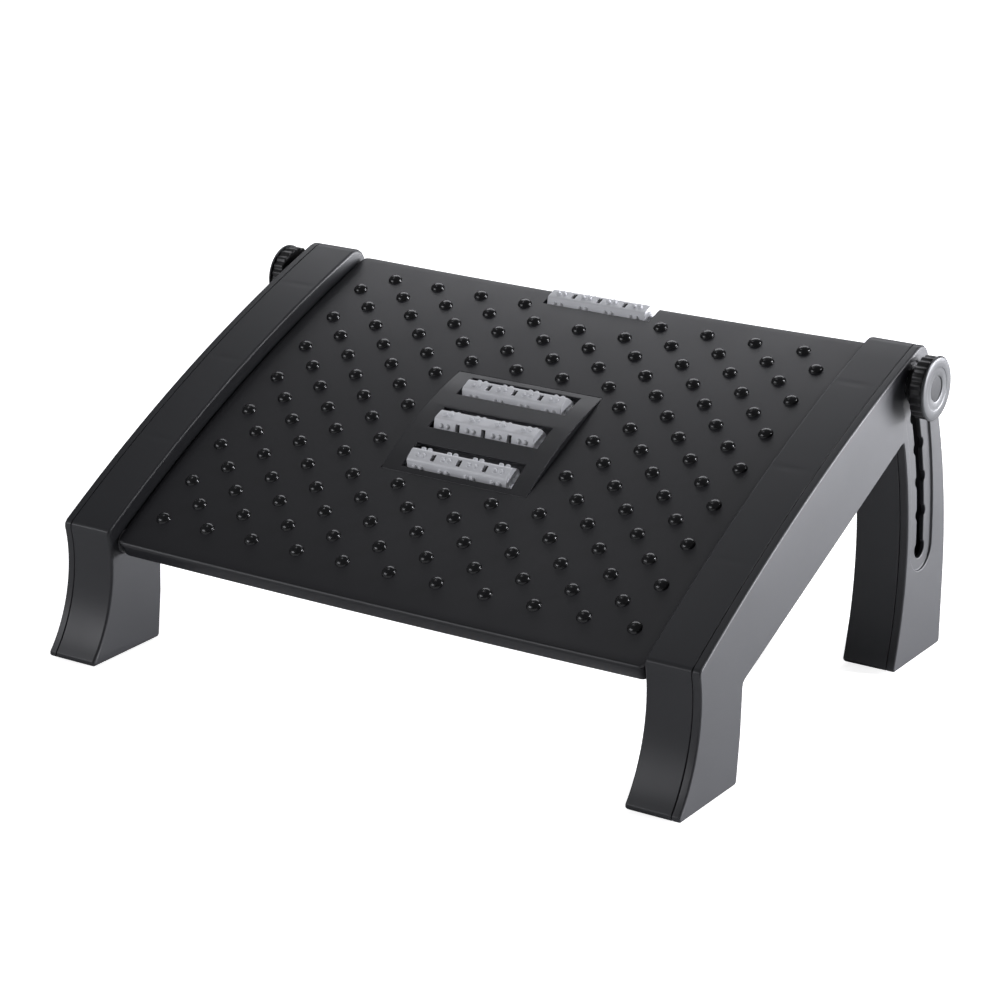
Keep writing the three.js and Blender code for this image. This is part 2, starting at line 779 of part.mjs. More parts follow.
// Roller panel: a shallow arch let into the deck, with the rollers' cradles under it

function panelUp(along) {
  const share = (along - panelMiddle) / (panelLength / 2);
  return panelRise * (1 - share ** 2);
}

function panelArch(x0, x1, halfLength, low, offset) {
  const steps = 8;
  const top = Array.from({ length: steps + 1 }, (_, i) => {
    const along = panelMiddle + halfLength - (2 * halfLength * i) / steps;
    return archPoint(along, Math.max(low + panelLip, panelUp(along) + offset));
  });
  const ends = [panelMiddle - halfLength, panelMiddle, panelMiddle + halfLength];
  const bottom = ends.map((along) => archPoint(along, low));
  return solid(dished(slabGeometry([...bottom, ...top], [x0, x1])));
}

function rollerSpot(index) {
  const along = panelMiddle + (index - 1) * rollerPitch;
  return { along, up: panelUp(along) - rollerSink };
}

const rollerSpots = [0, 1, 2].map(rollerSpot);
const panelScrewSpots = [-1, 1].flatMap((side) =>
  [-1, 1].map((end) => [side * panelScrewAcross, panelMiddle + end * panelScrewAlong]),
);

function rollerPanel() {
  const halfWidth = panelWidth / 2;
  const halfLength = panelLength / 2;
  const insideLength = halfLength - panelFlange - gap;
  const under = -panelSeat + gap;
  const floor = -keeperDepth + gap;
  const pieces = [
    cut(panelArch(-halfWidth, halfWidth, halfLength, under, 0), [
      panelArch(-halfWidth + panelWall, halfWidth - panelWall, halfLength - panelWall, -reach / 4, -panelWall),
    ]),
  ];
  for (const side of [-1, 1]) {
    const walls = [side * (windowWidth / 2), side * cradleOutside].sort((a, b) => a - b);
    pieces.push(panelArch(...walls, insideLength, floor, -panelWall / 2));
  }
  for (const [x, along] of panelScrewSpots) {
    const high = panelUp(along) - panelWall / 2;
    const boss = new THREE.CylinderGeometry(bossRadius, bossRadius, high - floor, 8);
    pieces.push(upright(boss, x, along, (high + floor) / 2));
  }
  const tools = rollerSpots.flatMap(({ along, up }) => [
    archSlab(-windowWidth / 2, windowWidth / 2, along - windowLength / 2, along + windowLength / 2, -reach / 4, reach),
    stubSlot(along, up),
  ]);
  const bores = panelScrewSpots.map(([x, along]) => screwBore(x, along, floor - 1, floor + panelScrewLength - keeperThick));
  return cut(join(pieces), [...tools, ...bores]);
}

// Keeper: a plate under the deck that closes the cradles and clamps the panel, with a rim and six saddles
function rollerKeeper() {
  const openingX = panelWidth / 2 - panelFlange;
  const openingLength = panelLength / 2 - panelFlange;
  const plate = (grow, low, high) =>
    archSlab(
      -openingX - grow,
      openingX + grow,
      panelMiddle - openingLength - grow,
      panelMiddle + openingLength + grow,
      low,
      high,
    );
  const top = -keeperDepth;
  const rim = cut(plate(keeperMargin, top - 1, -deckPlate - gap), [plate(1, top - 2, 0)]);
  const pieces = [plate(keeperMargin, top - keeperThick, top), rim];
  const tools = [];
  for (const { along, up } of rollerSpots) {
    const half = rollerRadius + keeperSlotMargin;
    tools.push(archSlab(-windowWidth / 2, windowWidth / 2, along - half, along + half, -reach / 2, 0));
    for (const side of [-1, 1]) {
      const walls = [side * (windowWidth / 2), side * cradleOutside].sort((a, b) => a - b);
      const saddle = stubRadius - gap;
      pieces.push(archSlab(...walls, along - saddle, along + saddle, top - 1, up - stubRadius - running));
    }
  }
  const bores = panelScrewSpots.map(([x, along]) => screwBore(x, along, top - keeperThick - 1, top + 1));
  return cut(join(pieces), [...tools, ...bores]);
}

function edgeKeeper(side) {
  const half = edgeKeeperLength / 2;
  const ends = [side * (windowWidth / 2), side * (edgeScrewAcross + bossRadius)].sort((a, b) => a - b);
  const low = edgeKeeperTop - edgeKeeperThick;
  const plate = archSlab(...ends, edgeAxis - half, edgeAxis + half, low, edgeKeeperTop);
  return cut(plate, [screwBore(side * edgeScrewAcross, edgeAxis, low - 1, edgeKeeperTop + 1)]);
}

// A studded roller: four pairs of studs on each of six sides, and three slots on every other side
function roller() {
  const half = rollerLength / 2;
  const flat = rollerRadius / hexStretch;
  const corners = arc(deckPivot, rollerRadius, 0, (5 * Math.PI) / 3, 5);
  corners.forEach((corner) => {
    corner.fillet = rollerCornerRound;
  });
  const pieces = [
    slab(withRounds(corners), -half, half),
    rod(deckPivot, stubRadius, -half - stubLength, half + stubLength, 8),
  ];
  const tools = [];
  for (let face = 0; face < 6; face++) {
    const turn = ((face + 0.5) * Math.PI) / 3 - Math.PI / 2;
    for (const place of [-1.5, -0.5, 0.5, 1.5]) {
      for (const end of [-0.5, 0.5]) {
        const stud = new THREE.ConeGeometry(studWidth * Math.SQRT1_2, 2 * studHeight, 4).rotateY(Math.PI / 4);
        stud.rotateX(Math.PI / 2).translate(place * studPitch + end * studPair, 0, flat);
        pieces.push(solid(stud.rotateX(turn)));
      }
    }
    if (face % 2) continue;
    for (const place of [-1, 0, 1]) {
      const slot = new THREE.BoxGeometry(rollerSlotWidth, rollerSlotLength, 2 * rollerSlotDepth);
      tools.push(solid(slot.translate(place * studPitch, 0, flat).rotateX(turn)));
    }
  }
  return cut(join(pieces), tools);
}

// Pivot and clamp hardware of the right-hand side, in the deck's own frame

function pivotPin() {
  const profile = [
    [0, pinEnd],
    [pinRadius - 1, pinEnd],
    [pinRadius, pinEnd + 1],
    [pinRadius, pinShoulder],
    [pinHeadRadius, pinShoulder],
    [pinHeadRadius, pinShoulder + pinHead],
    [0, pinShoulder + pinHead],
  ];
  return turned(profile, deckPivot, 12);
}

// The knob's hub bears on the washer here
const knobStart = trackFace + gap + washerThick + gap;

function clampBolt() {
  const head = deckHalf - clampBossLength;
  const shank = rod(deckClamp, boltRadius, head + 1, knobStart + nutLength + boltBeyondNut, 12);
  return shank.add(rod(deckClamp, (boltHeadWidth / 2) * hexStretch, head, head + boltHead, 6));
}

function knobBody() {
  const bodyStart = knobStart + hubLength;
  const fluted = [];
  for (let i = 0; i < knobFlutes; i++) {
    const crest = (i * 2 * Math.PI) / knobFlutes;
    const width = (Math.PI * 0.45) / knobFlutes;
    const valley = crest + Math.PI / knobFlutes;
    fluted.push(...arc(deckClamp, knobRadius, crest - width, crest + width, 1));
    fluted.push(...arc(deckClamp, knobRadius - fluteDepth, valley, valley, 1).slice(1));
  }
  const nutHole = (nutWidth / 2) * hexStretch + gap;
  const body = slab(fluted, bodyStart, bodyStart + knobThick);
  return cut(body.add(rod(deckClamp, hubRadius, knobStart, bodyStart + 1, 20)), [
    rod(deckClamp, nutHole, knobStart - 1, knobStart + nutLength + gap, 6),
    rod(deckClamp, boltRadius + gap, knobStart - 1, knobStart + nutLength + boltBeyondNut + 1, 12),
  ]);
}

function knobNut() {
  const hex = rod(deckClamp, (nutWidth / 2) * hexStretch, knobStart, knobStart + nutLength, 6);
  return cut(hex, [rod(deckClamp, boltRadius + gap, knobStart - 1, knobStart + nutLength + 1, 12)]);
}

function knobCap() {
  const back = knobStart + hubLength + knobThick + gap;
  const face = back + capThick;
  const profile = [
    [0, back],
    [capRadius, back],
    [capRadius, face - capEdge],
    [capRadius - capEdge, face],
    [capRingRadius, face],
    [capRingRadius - capRing / 2, face - capRing / 2],
    [capRingRadius - capRing, face],
    [capDishRadius, face],
    [capDishRadius - capDish, face - capDish],
    [0, face - capDish],
  ];
  return turned(profile, deckClamp, 20);
}

// A screw whose head starts at x = 0 and whose point looks along x
function screw(length) {
  const profile = [
    [0, 0],
    [screwHeadRadius, 0],
    [screwHeadRadius - 0.6, screwHead],
    [screwRadius, screwHead],
    [screwRadius, screwHead + length],
    [0, screwHead + length],
  ];
  return turned(profile, deckPivot, 8);
}

// Colours and finishes from the photograph

function plastic(color, roughness) {
  return new THREE.MeshStandardMaterial({ color, roughness, metalness: 0 });
}

function metal(color, roughness) {
  return new THREE.MeshStandardMaterial({ color, roughness, metalness: 1 });
}

const shellPlastic = () => plastic(0x2b2b2e, 0.48);
const deckPlastic = () => plastic(0x242427, 0.45);
const rollerPlastic = () => plastic(0xc9cbd2, 0.4);
const silverPaint = () => plastic(0x9a9da1, 0.35);
const nylon = () => plastic(0xd8d6cf, 0.5);
const rubber = () => plastic(0x161617, 0.9);
const steel = () => metal(0xa7a9ac, 0.3);
const brass = () => metal(0xb08d4a, 0.35);

function piece(name, body, material) {
  const mesh = new THREE.Mesh(geometryOf(body), material);
  mesh.name = name;
  return mesh;
}

// Leg frames, the left one a mirror of the right one

const outline = frameOutline();
const shellBody = frameShell(outline);
const coverBody = frameCover(outline);
const pads = footPlans(padMargin);

function legFrame(side) {
  const group = new THREE.Group();
  group.scale.x = side === "right" ? 1 : -1;
  group.add(piece(side + "_frame_shell", shellBody, shellPlastic()));
  group.add(piece(side + "_frame_cover", coverBody, shellPlastic()));
  group.add(piece(side + "_front_foot_pad", footPad(pads.front), rubber()));
  group.add(piece(side + "_rear_foot_pad", footPad(pads.rear), rubber()));
  const bush = ring(pivot, pinRadius + running, bushRadius, innerFace, pinShoulder - gap);
  group.add(piece(side + "_pivot_bush", bush, nylon()));
  frameScrewSpots().forEach((spot, i) => {
    const mesh = piece(side + "_frame_screw_" + (i + 1), screw(frameScrewLength), steel());
    mesh.position.set(innerFace + frameScrewSink - gap - screwHead, spot.x, spot.y);
    group.add(mesh);
  });
  return group;
}

// What tilts with the deck on one side

function tiltingHardware(side) {
  const group = new THREE.Group();
  group.scale.x = side === "right" ? 1 : -1;
  const from = deckHalf + gap;
  const to = innerFace - gap;
  const washer = ring(deckClamp, boltRadius + gap, washerRadius, trackFace + gap, trackFace + gap + washerThick);
  group.add(piece(side + "_pivot_pin", pivotPin(), steel()));
  group.add(piece(side + "_pivot_spacer", ring(deckPivot, pinRadius + gap, spacerRadius, from, to), nylon()));
  group.add(piece(side + "_clamp_bolt", clampBolt(), steel()));
  group.add(piece(side + "_clamp_spacer", ring(deckClamp, boltRadius + gap, spacerRadius, from, to), nylon()));
  group.add(piece(side + "_knob_washer", washer, steel()));
  group.add(piece(side + "_knob_body", knobBody(), shellPlastic()));
  group.add(piece(side + "_knob_nut", knobNut(), brass()));
  group.add(piece(side + "_knob_cap", knobCap(), silverPaint()));
  return group;
}

// A screw driven up from below, square to the arch, with its head under a face
function upwardScrew(name, length, x, along, face) {
  const mesh = piece(name, screw(length), steel());
  const spot = archPoint(along, face - gap - screwHead - dropAt(x));
  mesh.rotation.y = -Math.PI / 2;
  const holder = new THREE.Group();
  holder.position.set(x, spot.x, spot.y);
  holder.rotation.x = -along / archRadius;
  holder.add(mesh);
  return holder;
}

// The tilting deck with all that it carries

const deck = new THREE.Group();
deck.position.set(0, pivot.x, pivot.y);
deck.rotation.x = restTilt;
deck.add(piece("footrest_deck", deckBody(), deckPlastic()));
deck.add(piece("roller_panel", rollerPanel(), deckPlastic()));
deck.add(piece("roller_keeper", rollerKeeper(), shellPlastic()));
panelScrewSpots.forEach(([x, along], i) => {
  deck.add(upwardScrew("panel_screw_" + (i + 1), panelScrewLength, x, along, -keeperDepth - keeperThick));
});

const [frontSpot, middleSpot, rearSpot] = rollerSpots;
const edgeSpot = { along: edgeAxis, up: -edgeRollerDepth };
const rollerBody = roller();
for (const [name, { along, up }] of Object.entries({
  front: frontSpot,
  middle: middleSpot,
  rear: rearSpot,
  edge: edgeSpot,
})) {
  const spot = archPoint(along, up - dish);
  const mesh = piece(name + "_roller", rollerBody, rollerPlastic());
  mesh.position.set(rollerShift, spot.x, spot.y);
  mesh.rotation.x = radians(rollerSpins[name]) - along / archRadius;
  deck.add(mesh);
}

const footrest = new THREE.Group();
for (const side of ["left", "right"]) {
  const sign = side === "right" ? 1 : -1;
  footrest.add(legFrame(side));
  deck.add(tiltingHardware(side));
  deck.add(piece(side + "_edge_keeper", edgeKeeper(sign), shellPlastic()));
  const name = side + "_edge_keeper_screw";
  const face = edgeKeeperTop - edgeKeeperThick;
  deck.add(upwardScrew(name, edgeScrewLength, sign * edgeScrewAcross, edgeAxis, face));
}
footrest.add(deck);

export default footrest;
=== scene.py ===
# %% [markdown]
# # A tilting footrest, dressed for the picture
#
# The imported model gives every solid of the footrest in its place. This script gives them their looks:
# smooth mouldings in place of facets, domed nubs and studs, turned knobs, and a finish for each
# plastic, rubber and metal. All lengths in the notes are millimetres, as on a drawing; Blender works in
# metres, so one factor turns the first into the second.

import json
import math

import bmesh
import bpy
import numpy as np
from mathutils import Matrix, Vector
from mathutils.geometry import delaunay_2d_cdt


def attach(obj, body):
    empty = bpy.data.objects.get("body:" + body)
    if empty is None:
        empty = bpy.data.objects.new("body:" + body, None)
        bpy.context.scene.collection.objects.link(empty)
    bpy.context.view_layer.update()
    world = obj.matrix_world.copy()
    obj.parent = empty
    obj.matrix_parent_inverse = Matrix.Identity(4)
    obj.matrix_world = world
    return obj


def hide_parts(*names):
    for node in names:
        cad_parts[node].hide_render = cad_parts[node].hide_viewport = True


MM = 0.001

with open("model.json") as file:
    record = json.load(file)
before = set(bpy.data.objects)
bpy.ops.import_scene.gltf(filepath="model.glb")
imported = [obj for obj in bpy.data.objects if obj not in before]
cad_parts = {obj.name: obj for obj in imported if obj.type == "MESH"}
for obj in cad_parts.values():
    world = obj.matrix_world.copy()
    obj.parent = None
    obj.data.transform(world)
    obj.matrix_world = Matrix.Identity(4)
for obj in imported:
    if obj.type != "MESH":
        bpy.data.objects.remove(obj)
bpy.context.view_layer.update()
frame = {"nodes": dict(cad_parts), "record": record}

# %% [markdown]
# ## Helpers for numpy surfaces
#
# Most new pieces are grids of points. A grid has rows along one parameter and columns along another,
# and its faces follow from the counts alone. Where the surface closes on itself the last row or column
# joins the first one, and where a row shrinks to a point its quads become thin, which Blender accepts
# once the double points are merged.

# %% Grids of points become meshes
# These two are metres: points this close are one, and edges this short have no length.
SAME_PLACE, NO_LENGTH = 1e-6, 1e-7


def grid_faces(rows, columns, close_rows=False, close_columns=False):
    """Four corners for each cell of a grid: (i, j), (i, j + 1), (i + 1, j + 1), (i + 1, j)."""
    i = np.arange(rows if close_rows else rows - 1)[:, None]
    j = np.arange(columns if close_columns else columns - 1)[None, :]
    below, right = (i + 1) % rows, (j + 1) % columns
    corners = [i * columns + j, i * columns + right, below * columns + right, below * columns + j]
    return np.stack(np.broadcast_arrays(*corners), axis=-1).reshape(-1, 4)


def mesh_from(name, points, faces):
    """A mesh whose doubles are merged and whose faces point outwards."""
    mesh = bpy.data.meshes.new(name)
    mesh.from_pydata((points * MM).tolist(), [], faces.tolist())
    shape = bmesh.new()
    shape.from_mesh(mesh)
    bmesh.ops.remove_doubles(shape, verts=shape.verts, dist=SAME_PLACE)
    bmesh.ops.dissolve_degenerate(shape, edges=shape.edges, dist=NO_LENGTH)
    bmesh.ops.recalc_face_normals(shape, faces=shape.faces)
    shape.to_mesh(mesh)
    shape.free()
    return mesh


def add_piece(name, mesh, body, slot, replaced=(), material=None):
    """It takes its slot's own finish unless a material is given."""
    mesh.materials.append(material or FINISHES[slot])
    piece = bpy.data.objects.new(name, mesh)
    bpy.context.scene.collection.objects.link(piece)
    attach(piece, body)
    if replaced:
        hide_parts(*replaced)
    print(f"{name}: {len(mesh.polygons)} faces on {body}")
    return piece


def shade(piece, sharp_degrees):
    """Smooth shading that breaks at every edge sharper than the angle."""
    piece.data.shade_smooth()
    piece.data.set_sharp_from_angle(angle=math.radians(sharp_degrees))


# %% [markdown]
# ## Where things are
#
# The deck is an arch of large radius, a little lower in the middle than at its sides. The pivot pins at
# the front and the clamp bolts at the rear lie a little under the arch, and these two points and the
# radius fix it, wherever the deck is tilted to. A place on the deck is told by three numbers: across,
# along the arch and up.

# %% The deck's arch
DECK_HALF, ARCH_RADIUS, DISH = 200.0, 1328.0, 1.95
PIVOT = np.array([-140.0, 79.0])
PIVOT_DEPTH, CLAMP_DEPTH = 8.7, 9.8
CLAMP_RADIUS = 280.0
REST_TILT = math.radians(25)
PIVOT_SPOKE = ARCH_RADIUS - PIVOT_DEPTH
CLAMP_SPOKE = ARCH_RADIUS - CLAMP_DEPTH
CROWN_Y = (CLAMP_RADIUS**2 + PIVOT_SPOKE**2 - CLAMP_SPOKE**2) / (2 * CLAMP_RADIUS)
CROWN_Z = -math.sqrt(PIVOT_SPOKE**2 - CROWN_Y**2)


def tilted(back, rise):
    """From the level deck's y and z about the pivot to those of the deck turned by the rest tilt."""
    cos, sin = math.cos(REST_TILT), math.sin(REST_TILT)
    return PIVOT[0] + back * cos - rise * sin, PIVOT[1] + back * sin + rise * cos


def on_arch(across, along, up):
    """Across stays. The spoke is the arch radius plus up, less the dish, which falls off with the square
    of across; it is turned from the crown by along over the radius, and then by the deck's tilt."""
    across, along, up = np.broadcast_arrays(across, along, up)
    spoke = ARCH_RADIUS + up - DISH * (1 - (across / DECK_HALF) ** 2)
    back = CROWN_Y + spoke * np.sin(along / ARCH_RADIUS)
    rise = CROWN_Z + spoke * np.cos(along / ARCH_RADIUS)
    return np.stack([across, *tilted(back, rise)], axis=-1)


CLAMP = tilted(CLAMP_RADIUS, 0)
print("clamp bolt at", np.round(CLAMP, 3), "crown of the deck at", on_arch(0.0, 0.0, 0.0).round(2))

# %% [markdown]
# ## Finishes
#
# Moulded plastic is never one flat colour. Its skin carries a fine spark-eroded grain, its gloss
# changes a little from place to place where the melt cooled sooner, and hands leave faint duller
# patches. An image would give all that too, but it would have to be unwrapped onto every piece. Noise in
# the piece's own coordinates needs no unwrapping, so each finish is the same recipe at its own scale: a
# fine noise drives the bump, a broad one drives the roughness and shifts the colour a little.

# %% A finish from two noises
GLOSS_SWAY, GRAIN_STRENGTH = 0.06, 0.8
PATCHES_PER_METRE = 22


def add_node(tree, kind, **values):
    """A shader node with input values by name, where an underscore stands for a space."""
    made = tree.nodes.new("ShaderNode" + kind)
    for name, value in values.items():
        made.inputs[name.replace("_", " ")].default_value = value
    return made


def finish(name, colour, roughness, grain, depth, metallic=0.0, specular=0.5, sway=0.05, stretch=(1, 1, 1)):
    """Colour times (1 +- sway), roughness +- the gloss sway, and a bump of the given depth, all from
    noise in object coordinates. Grain and depth are millimetres; stretch squeezes the grain along an
    axis."""
    material = bpy.data.materials.new(name)
    material.use_nodes = True
    tree = material.node_tree
    shader = tree.nodes["Principled BSDF"]
    shader.inputs["Metallic"].default_value = metallic
    shader.inputs["Specular IOR Level"].default_value = specular
    place = add_node(tree, "TexCoord")
    squeeze = add_node(tree, "Mapping", Scale=stretch)
    tree.links.new(place.outputs["Object"], squeeze.inputs["Vector"])

    fine = add_node(tree, "TexNoise", Scale=1 / (grain * MM), Detail=3)
    tree.links.new(squeeze.outputs["Vector"], fine.inputs["Vector"])
    bump = add_node(tree, "Bump", Distance=depth * MM, Strength=GRAIN_STRENGTH)
    tree.links.new(fine.outputs["Fac"], bump.inputs["Height"])
    tree.links.new(bump.outputs["Normal"], shader.inputs["Normal"])

    broad = add_node(tree, "TexNoise", Scale=PATCHES_PER_METRE, Detail=4)
    tree.links.new(place.outputs["Object"], broad.inputs["Vector"])
    gloss = add_node(tree, "MapRange", To_Min=roughness - GLOSS_SWAY, To_Max=roughness + GLOSS_SWAY)
    tree.links.new(broad.outputs["Fac"], gloss.inputs["Value"])
    tree.links.new(gloss.outputs["Result"], shader.inputs["Roughness"])

    darker = (*[c * (1 - sway) for c in colour], 1)
    lighter = (*[min(1, c * (1 + sway)) for c in colour], 1)
    tint = add_node(tree, "MixRGB", Color1=darker, Color2=lighter)
    tree.links.new(broad.outputs["Fac"], tint.inputs["Fac"])
    tree.links.new(tint.outputs["Color"], shader.inputs["Base Color"])
    return material


# %% [markdown]
# ## Sink marks
#
# Where a boss or a rib stands behind a wall, the plastic is thicker, cools last and draws the outside
# in. The photo shows three such marks on each rail, too shallow to change its outline. They could be
# pressed into the mesh, but a tenth of a millimetre would need very small faces, so they are a second
# bump under the grain.

# %% Hollows under the grain
MARK_SQUEEZE = (0.22, 1, 1)


def folded_place(tree):
    """Object coordinates with across made positive, so that one place serves both sides."""
    place = add_node(tree, "TexCoord")
    apart = add_node(tree, "SeparateXYZ")
    fold = add_node(tree, "Math")
    fold.operation = "ABSOLUTE"
    folded = add_node(tree, "CombineXYZ")
    tree.links.new(place.outputs["Object"], apart.inputs[0])
    tree.links.new(apart.outputs["X"], fold.inputs[0])
    tree.links.new(fold.outputs[0], folded.inputs["X"])
    tree.links.new(apart.outputs["Y"], folded.inputs["Y"])
    tree.links.new(apart.outputs["Z"], folded.inputs["Z"])
    return folded.outputs[0]


def bowl(tree, place, spot, reach):
    """Nothing at the spot and one at reach from it, by a smooth step of the distance. Across counts for
    less in the distance, so the bowl is wide."""
    away = add_node(tree, "VectorMath")
    away.operation = "SUBTRACT"
    away.inputs[1].default_value = spot
    squeeze = add_node(tree, "VectorMath")
    squeeze.operation = "MULTIPLY"
    squeeze.inputs[1].default_value = MARK_SQUEEZE
    length = add_node(tree, "VectorMath")
    length.operation = "LENGTH"
    step = add_node(tree, "MapRange", From_Max=reach * MM, To_Max=1.0)
    step.interpolation_type = "SMOOTHSTEP"
    tree.links.new(place, away.inputs[0])
    tree.links.new(away.outputs[0], squeeze.inputs[0])
    tree.links.new(squeeze.outputs[0], length.inputs[0])
    tree.links.new(length.outputs["Value"], step.inputs["Value"])
    return step.outputs["Result"]


def sink_marks(material, spots, reach, depth):
    """The height is the product of the bowls, and its bump goes into the normal of the grain's bump."""
    tree = material.node_tree
    grain = next(node for node in tree.nodes if node.type == "BUMP")
    place = folded_place(tree)
    height, *others = [bowl(tree, place, spot, reach) for spot in spots]
    for other in others:
        both = add_node(tree, "Math")
        both.operation = "MULTIPLY"
        tree.links.new(height, both.inputs[0])
        tree.links.new(other, both.inputs[1])
        height = both.outputs[0]
    dent = add_node(tree, "Bump", Distance=depth * MM, Strength=1.0)
    tree.links.new(height, dent.inputs["Height"])
    tree.links.new(dent.outputs["Normal"], grain.inputs["Normal"])


# %% [markdown]
# ## The finishes of this footrest
#
# The frames are a charcoal plastic, a little lighter than the black deck. The nubs are polished in the
# mould, so they show small bright lights where the deck shows none. The knob's cap looks like brushed
# metal but is a painted plastic, so only a third of it is metallic.

# %% A finish for each material slot
RAIL_RISE, RAIL_MIDDLE = 9.8, 217.5
MARKS_ALONG, MARK_REACH, MARK_DEPTH = (101.5, 13.0, -71.0), 4.5, 0.09

FINISHES = {
    "frame_plastic": finish("frame_charcoal", (0.022, 0.0228, 0.026), 0.44, 0.55, 0.012),
    "deck_plastic": finish("deck_black", (0.0095, 0.0096, 0.0122), 0.42, 0.5, 0.008),
    "roller_plastic": finish("roller_grey", (0.82, 0.83, 0.86), 0.42, 0.6, 0.008, sway=0.02),
    "knob_plastic": finish("knob_black", (0.012, 0.012, 0.013), 0.38, 0.5, 0.01),
    "silver_cap": finish("cap_silver", (0.052, 0.054, 0.057), 0.34, 0.3, 0.004, metallic=0.3),
    "nylon": finish("nylon_grey", (0.10, 0.10, 0.105), 0.5, 0.8, 0.01),
    "foot_rubber": finish("foot_rubber", (0.012, 0.012, 0.012), 0.85, 0.7, 0.03),
    "steel": finish("zinc_steel", (0.52, 0.53, 0.55), 0.28, 0.4, 0.004, metallic=1.0, stretch=(1, 1, 0.1)),
    "brass": finish("turned_brass", (0.62, 0.45, 0.18), 0.3, 0.3, 0.004, metallic=1.0, stretch=(0.1, 1, 1)),
}
# The panel's finish is the deck's black made lighter: painted light, so that the panel and its side walls,
# which the lamps leave too dark, show grey.
panel_black_painted_light = finish("panel_black_painted_light", (0.017, 0.0172, 0.020), 0.42, 0.5, 0.008)
# The disc in the cap's recess is darker and less glossy than the cap: a painted dark reflection.
cap_disc_dark_reflection = finish("cap_disc_dark_reflection", (0.03, 0.031, 0.033), 0.42, 0.3, 0.004, specular=0.15)
polished_nub = finish("nub_polished", (0.0085, 0.0087, 0.010), 0.24, 0.5, 0.003)

on_rail = [on_arch(DECK_HALF, along, RAIL_RISE) for along in MARKS_ALONG]
rail_spots = [(RAIL_MIDDLE * MM, y * MM, z * MM) for _, y, z in on_rail]
sink_marks(FINISHES["frame_plastic"], rail_spots, MARK_REACH, MARK_DEPTH)
print("finishes:", ", ".join(FINISHES), "and three of their own; sink marks on a rail:", len(rail_spots))

# %% [markdown]
# ## Every solid gets its finish
#
# The record says which material slot each solid belongs to, so one loop dresses all of them. Pieces
# made later say their slot as they are added, and take their finish the same way.

# %% Dress the solids
slot_of = {}
for part in frame["record"]["subparts"]:
    slot_of[part["node"]] = part["material_slot"]
    mesh = frame["nodes"][part["node"]].data
    mesh.materials.clear()
    mesh.materials.append(FINISHES[part["material_slot"]])
print("dressed", len(slot_of), "solids")

# %% [markdown]
# ## Mouldings without facets
#
# A solid holds its curves as short flats. The pieces could be drawn again from nothing, but then every
# rib and hollow would have to be drawn twice. Instead a copy of the solid is smoothed: its loose
# triangles are merged, flat areas become single faces, and every edge that is a chord of a known arc is
# split and its new points are pushed out to the arc. The walls between two such edges are cut into
# strips, so that they follow the arc too.

# %% Split chords and push them out to their arcs
# The first three are millimetres, and a long chord is a share of the radius.
LEVEL, EVEN, SHORT_CHORD, LONG_CHORD = 0.01, 0.3, 0.4, 0.75
WALL_LEAN, SPARE_STEP = 0.97, 0.3


def chord_cuts(points, ends, centre, radius, band, step):
    """An edge is a chord when both its ends lie within band of the radius, at nearly the same distance
    from the centre, and at the same place across. Its turn is twice the arcsine of its length over the
    sum of the two distances, and it is cut into parts of about step degrees."""
    away = np.hypot(points[:, 1] - centre[0], points[:, 2] - centre[1])
    first, second = away[ends[:, 0]], away[ends[:, 1]]
    length = np.linalg.norm(points[ends[:, 0], 1:] - points[ends[:, 1], 1:], axis=1)
    chord = np.abs(points[ends[:, 0], 0] - points[ends[:, 1], 0]) < LEVEL
    chord &= (np.abs(first - second) < EVEN) & (np.abs((first + second) / 2 - radius) < band)
    chord &= (length > SHORT_CHORD) & (length < LONG_CHORD * radius)
    turn = np.degrees(2 * np.arcsin(np.clip(length / (first + second), 0, 1)))
    return np.where(chord, np.ceil(turn / step - SPARE_STEP) - 1, 0).clip(0).astype(int), away


def split_edge(edge, cuts, near, far, centre):
    """Puts equally spaced points into an edge. Each goes out to a distance from the centre that is
    interpolated between those of the two ends."""
    start, end = edge.verts
    fresh = []
    for i in range(cuts):
        rest = next(item for item in start.link_edges if end in item.verts)
        start = bmesh.utils.edge_split(rest, start, 1 / (cuts + 1 - i))[1]
        fresh.append(start)
    for i, vertex in enumerate(fresh):
        spoke = near + (far - near) * (i + 1) / (cuts + 1)
        flat = Vector((0, vertex.co.y / MM - centre[0], vertex.co.z / MM - centre[1]))
        flat *= spoke / flat.length
        vertex.co.y, vertex.co.z = (centre[0] + flat.y) * MM, (centre[1] + flat.z) * MM
    return fresh


def cut_into_strips(face, runs):
    """A curved wall has two opposite edges with the same number of new points. Joining them pair by
    pair turns the wall into flat strips."""
    inside = [run for run in runs if all(vertex in face.verts for vertex in run)]
    if len(inside) != 2 or len(inside[0]) != len(inside[1]):
        return
    one, other = inside
    if (one[0].co - other[0].co).length > (one[0].co - other[-1].co).length:
        other = other[::-1]
    for a, b in zip(one, other):
        shared = [item for item in a.link_faces if b in item.verts]
        if shared and not any(b in edge.verts for edge in a.link_edges):
            bmesh.utils.face_split(shared[0], a, b)


def push_to_arc(shape, centre, radius, band, step):
    """Splits every chord of one arc and cuts the walls between them into strips. Faces square to the
    part's width stay whole, so they only gain points on their outline."""
    shape.verts.index_update()
    shape.edges.ensure_lookup_table()
    points = np.array([vertex.co for vertex in shape.verts]) / MM
    ends = np.array([[vertex.index for vertex in edge.verts] for edge in shape.edges])
    cuts, away = chord_cuts(points, ends, centre, radius, band, step)
    chosen = np.flatnonzero(cuts)
    jobs = [(shape.edges[i], int(cuts[i]), *away[[v.index for v in shape.edges[i].verts]]) for i in chosen]
    beside = [face for job in jobs for face in job[0].link_faces]
    walls = dict.fromkeys(face for face in beside if abs(face.normal.x) < WALL_LEAN)
    runs = [split_edge(*job, centre) for job in jobs]
    at = {}
    for run in runs:
        for face in run[0].link_faces:
            at.setdefault(face, []).append(run)
    for face in walls:
        cut_into_strips(face, at.get(face, []))
    return sum(len(run) for run in runs)


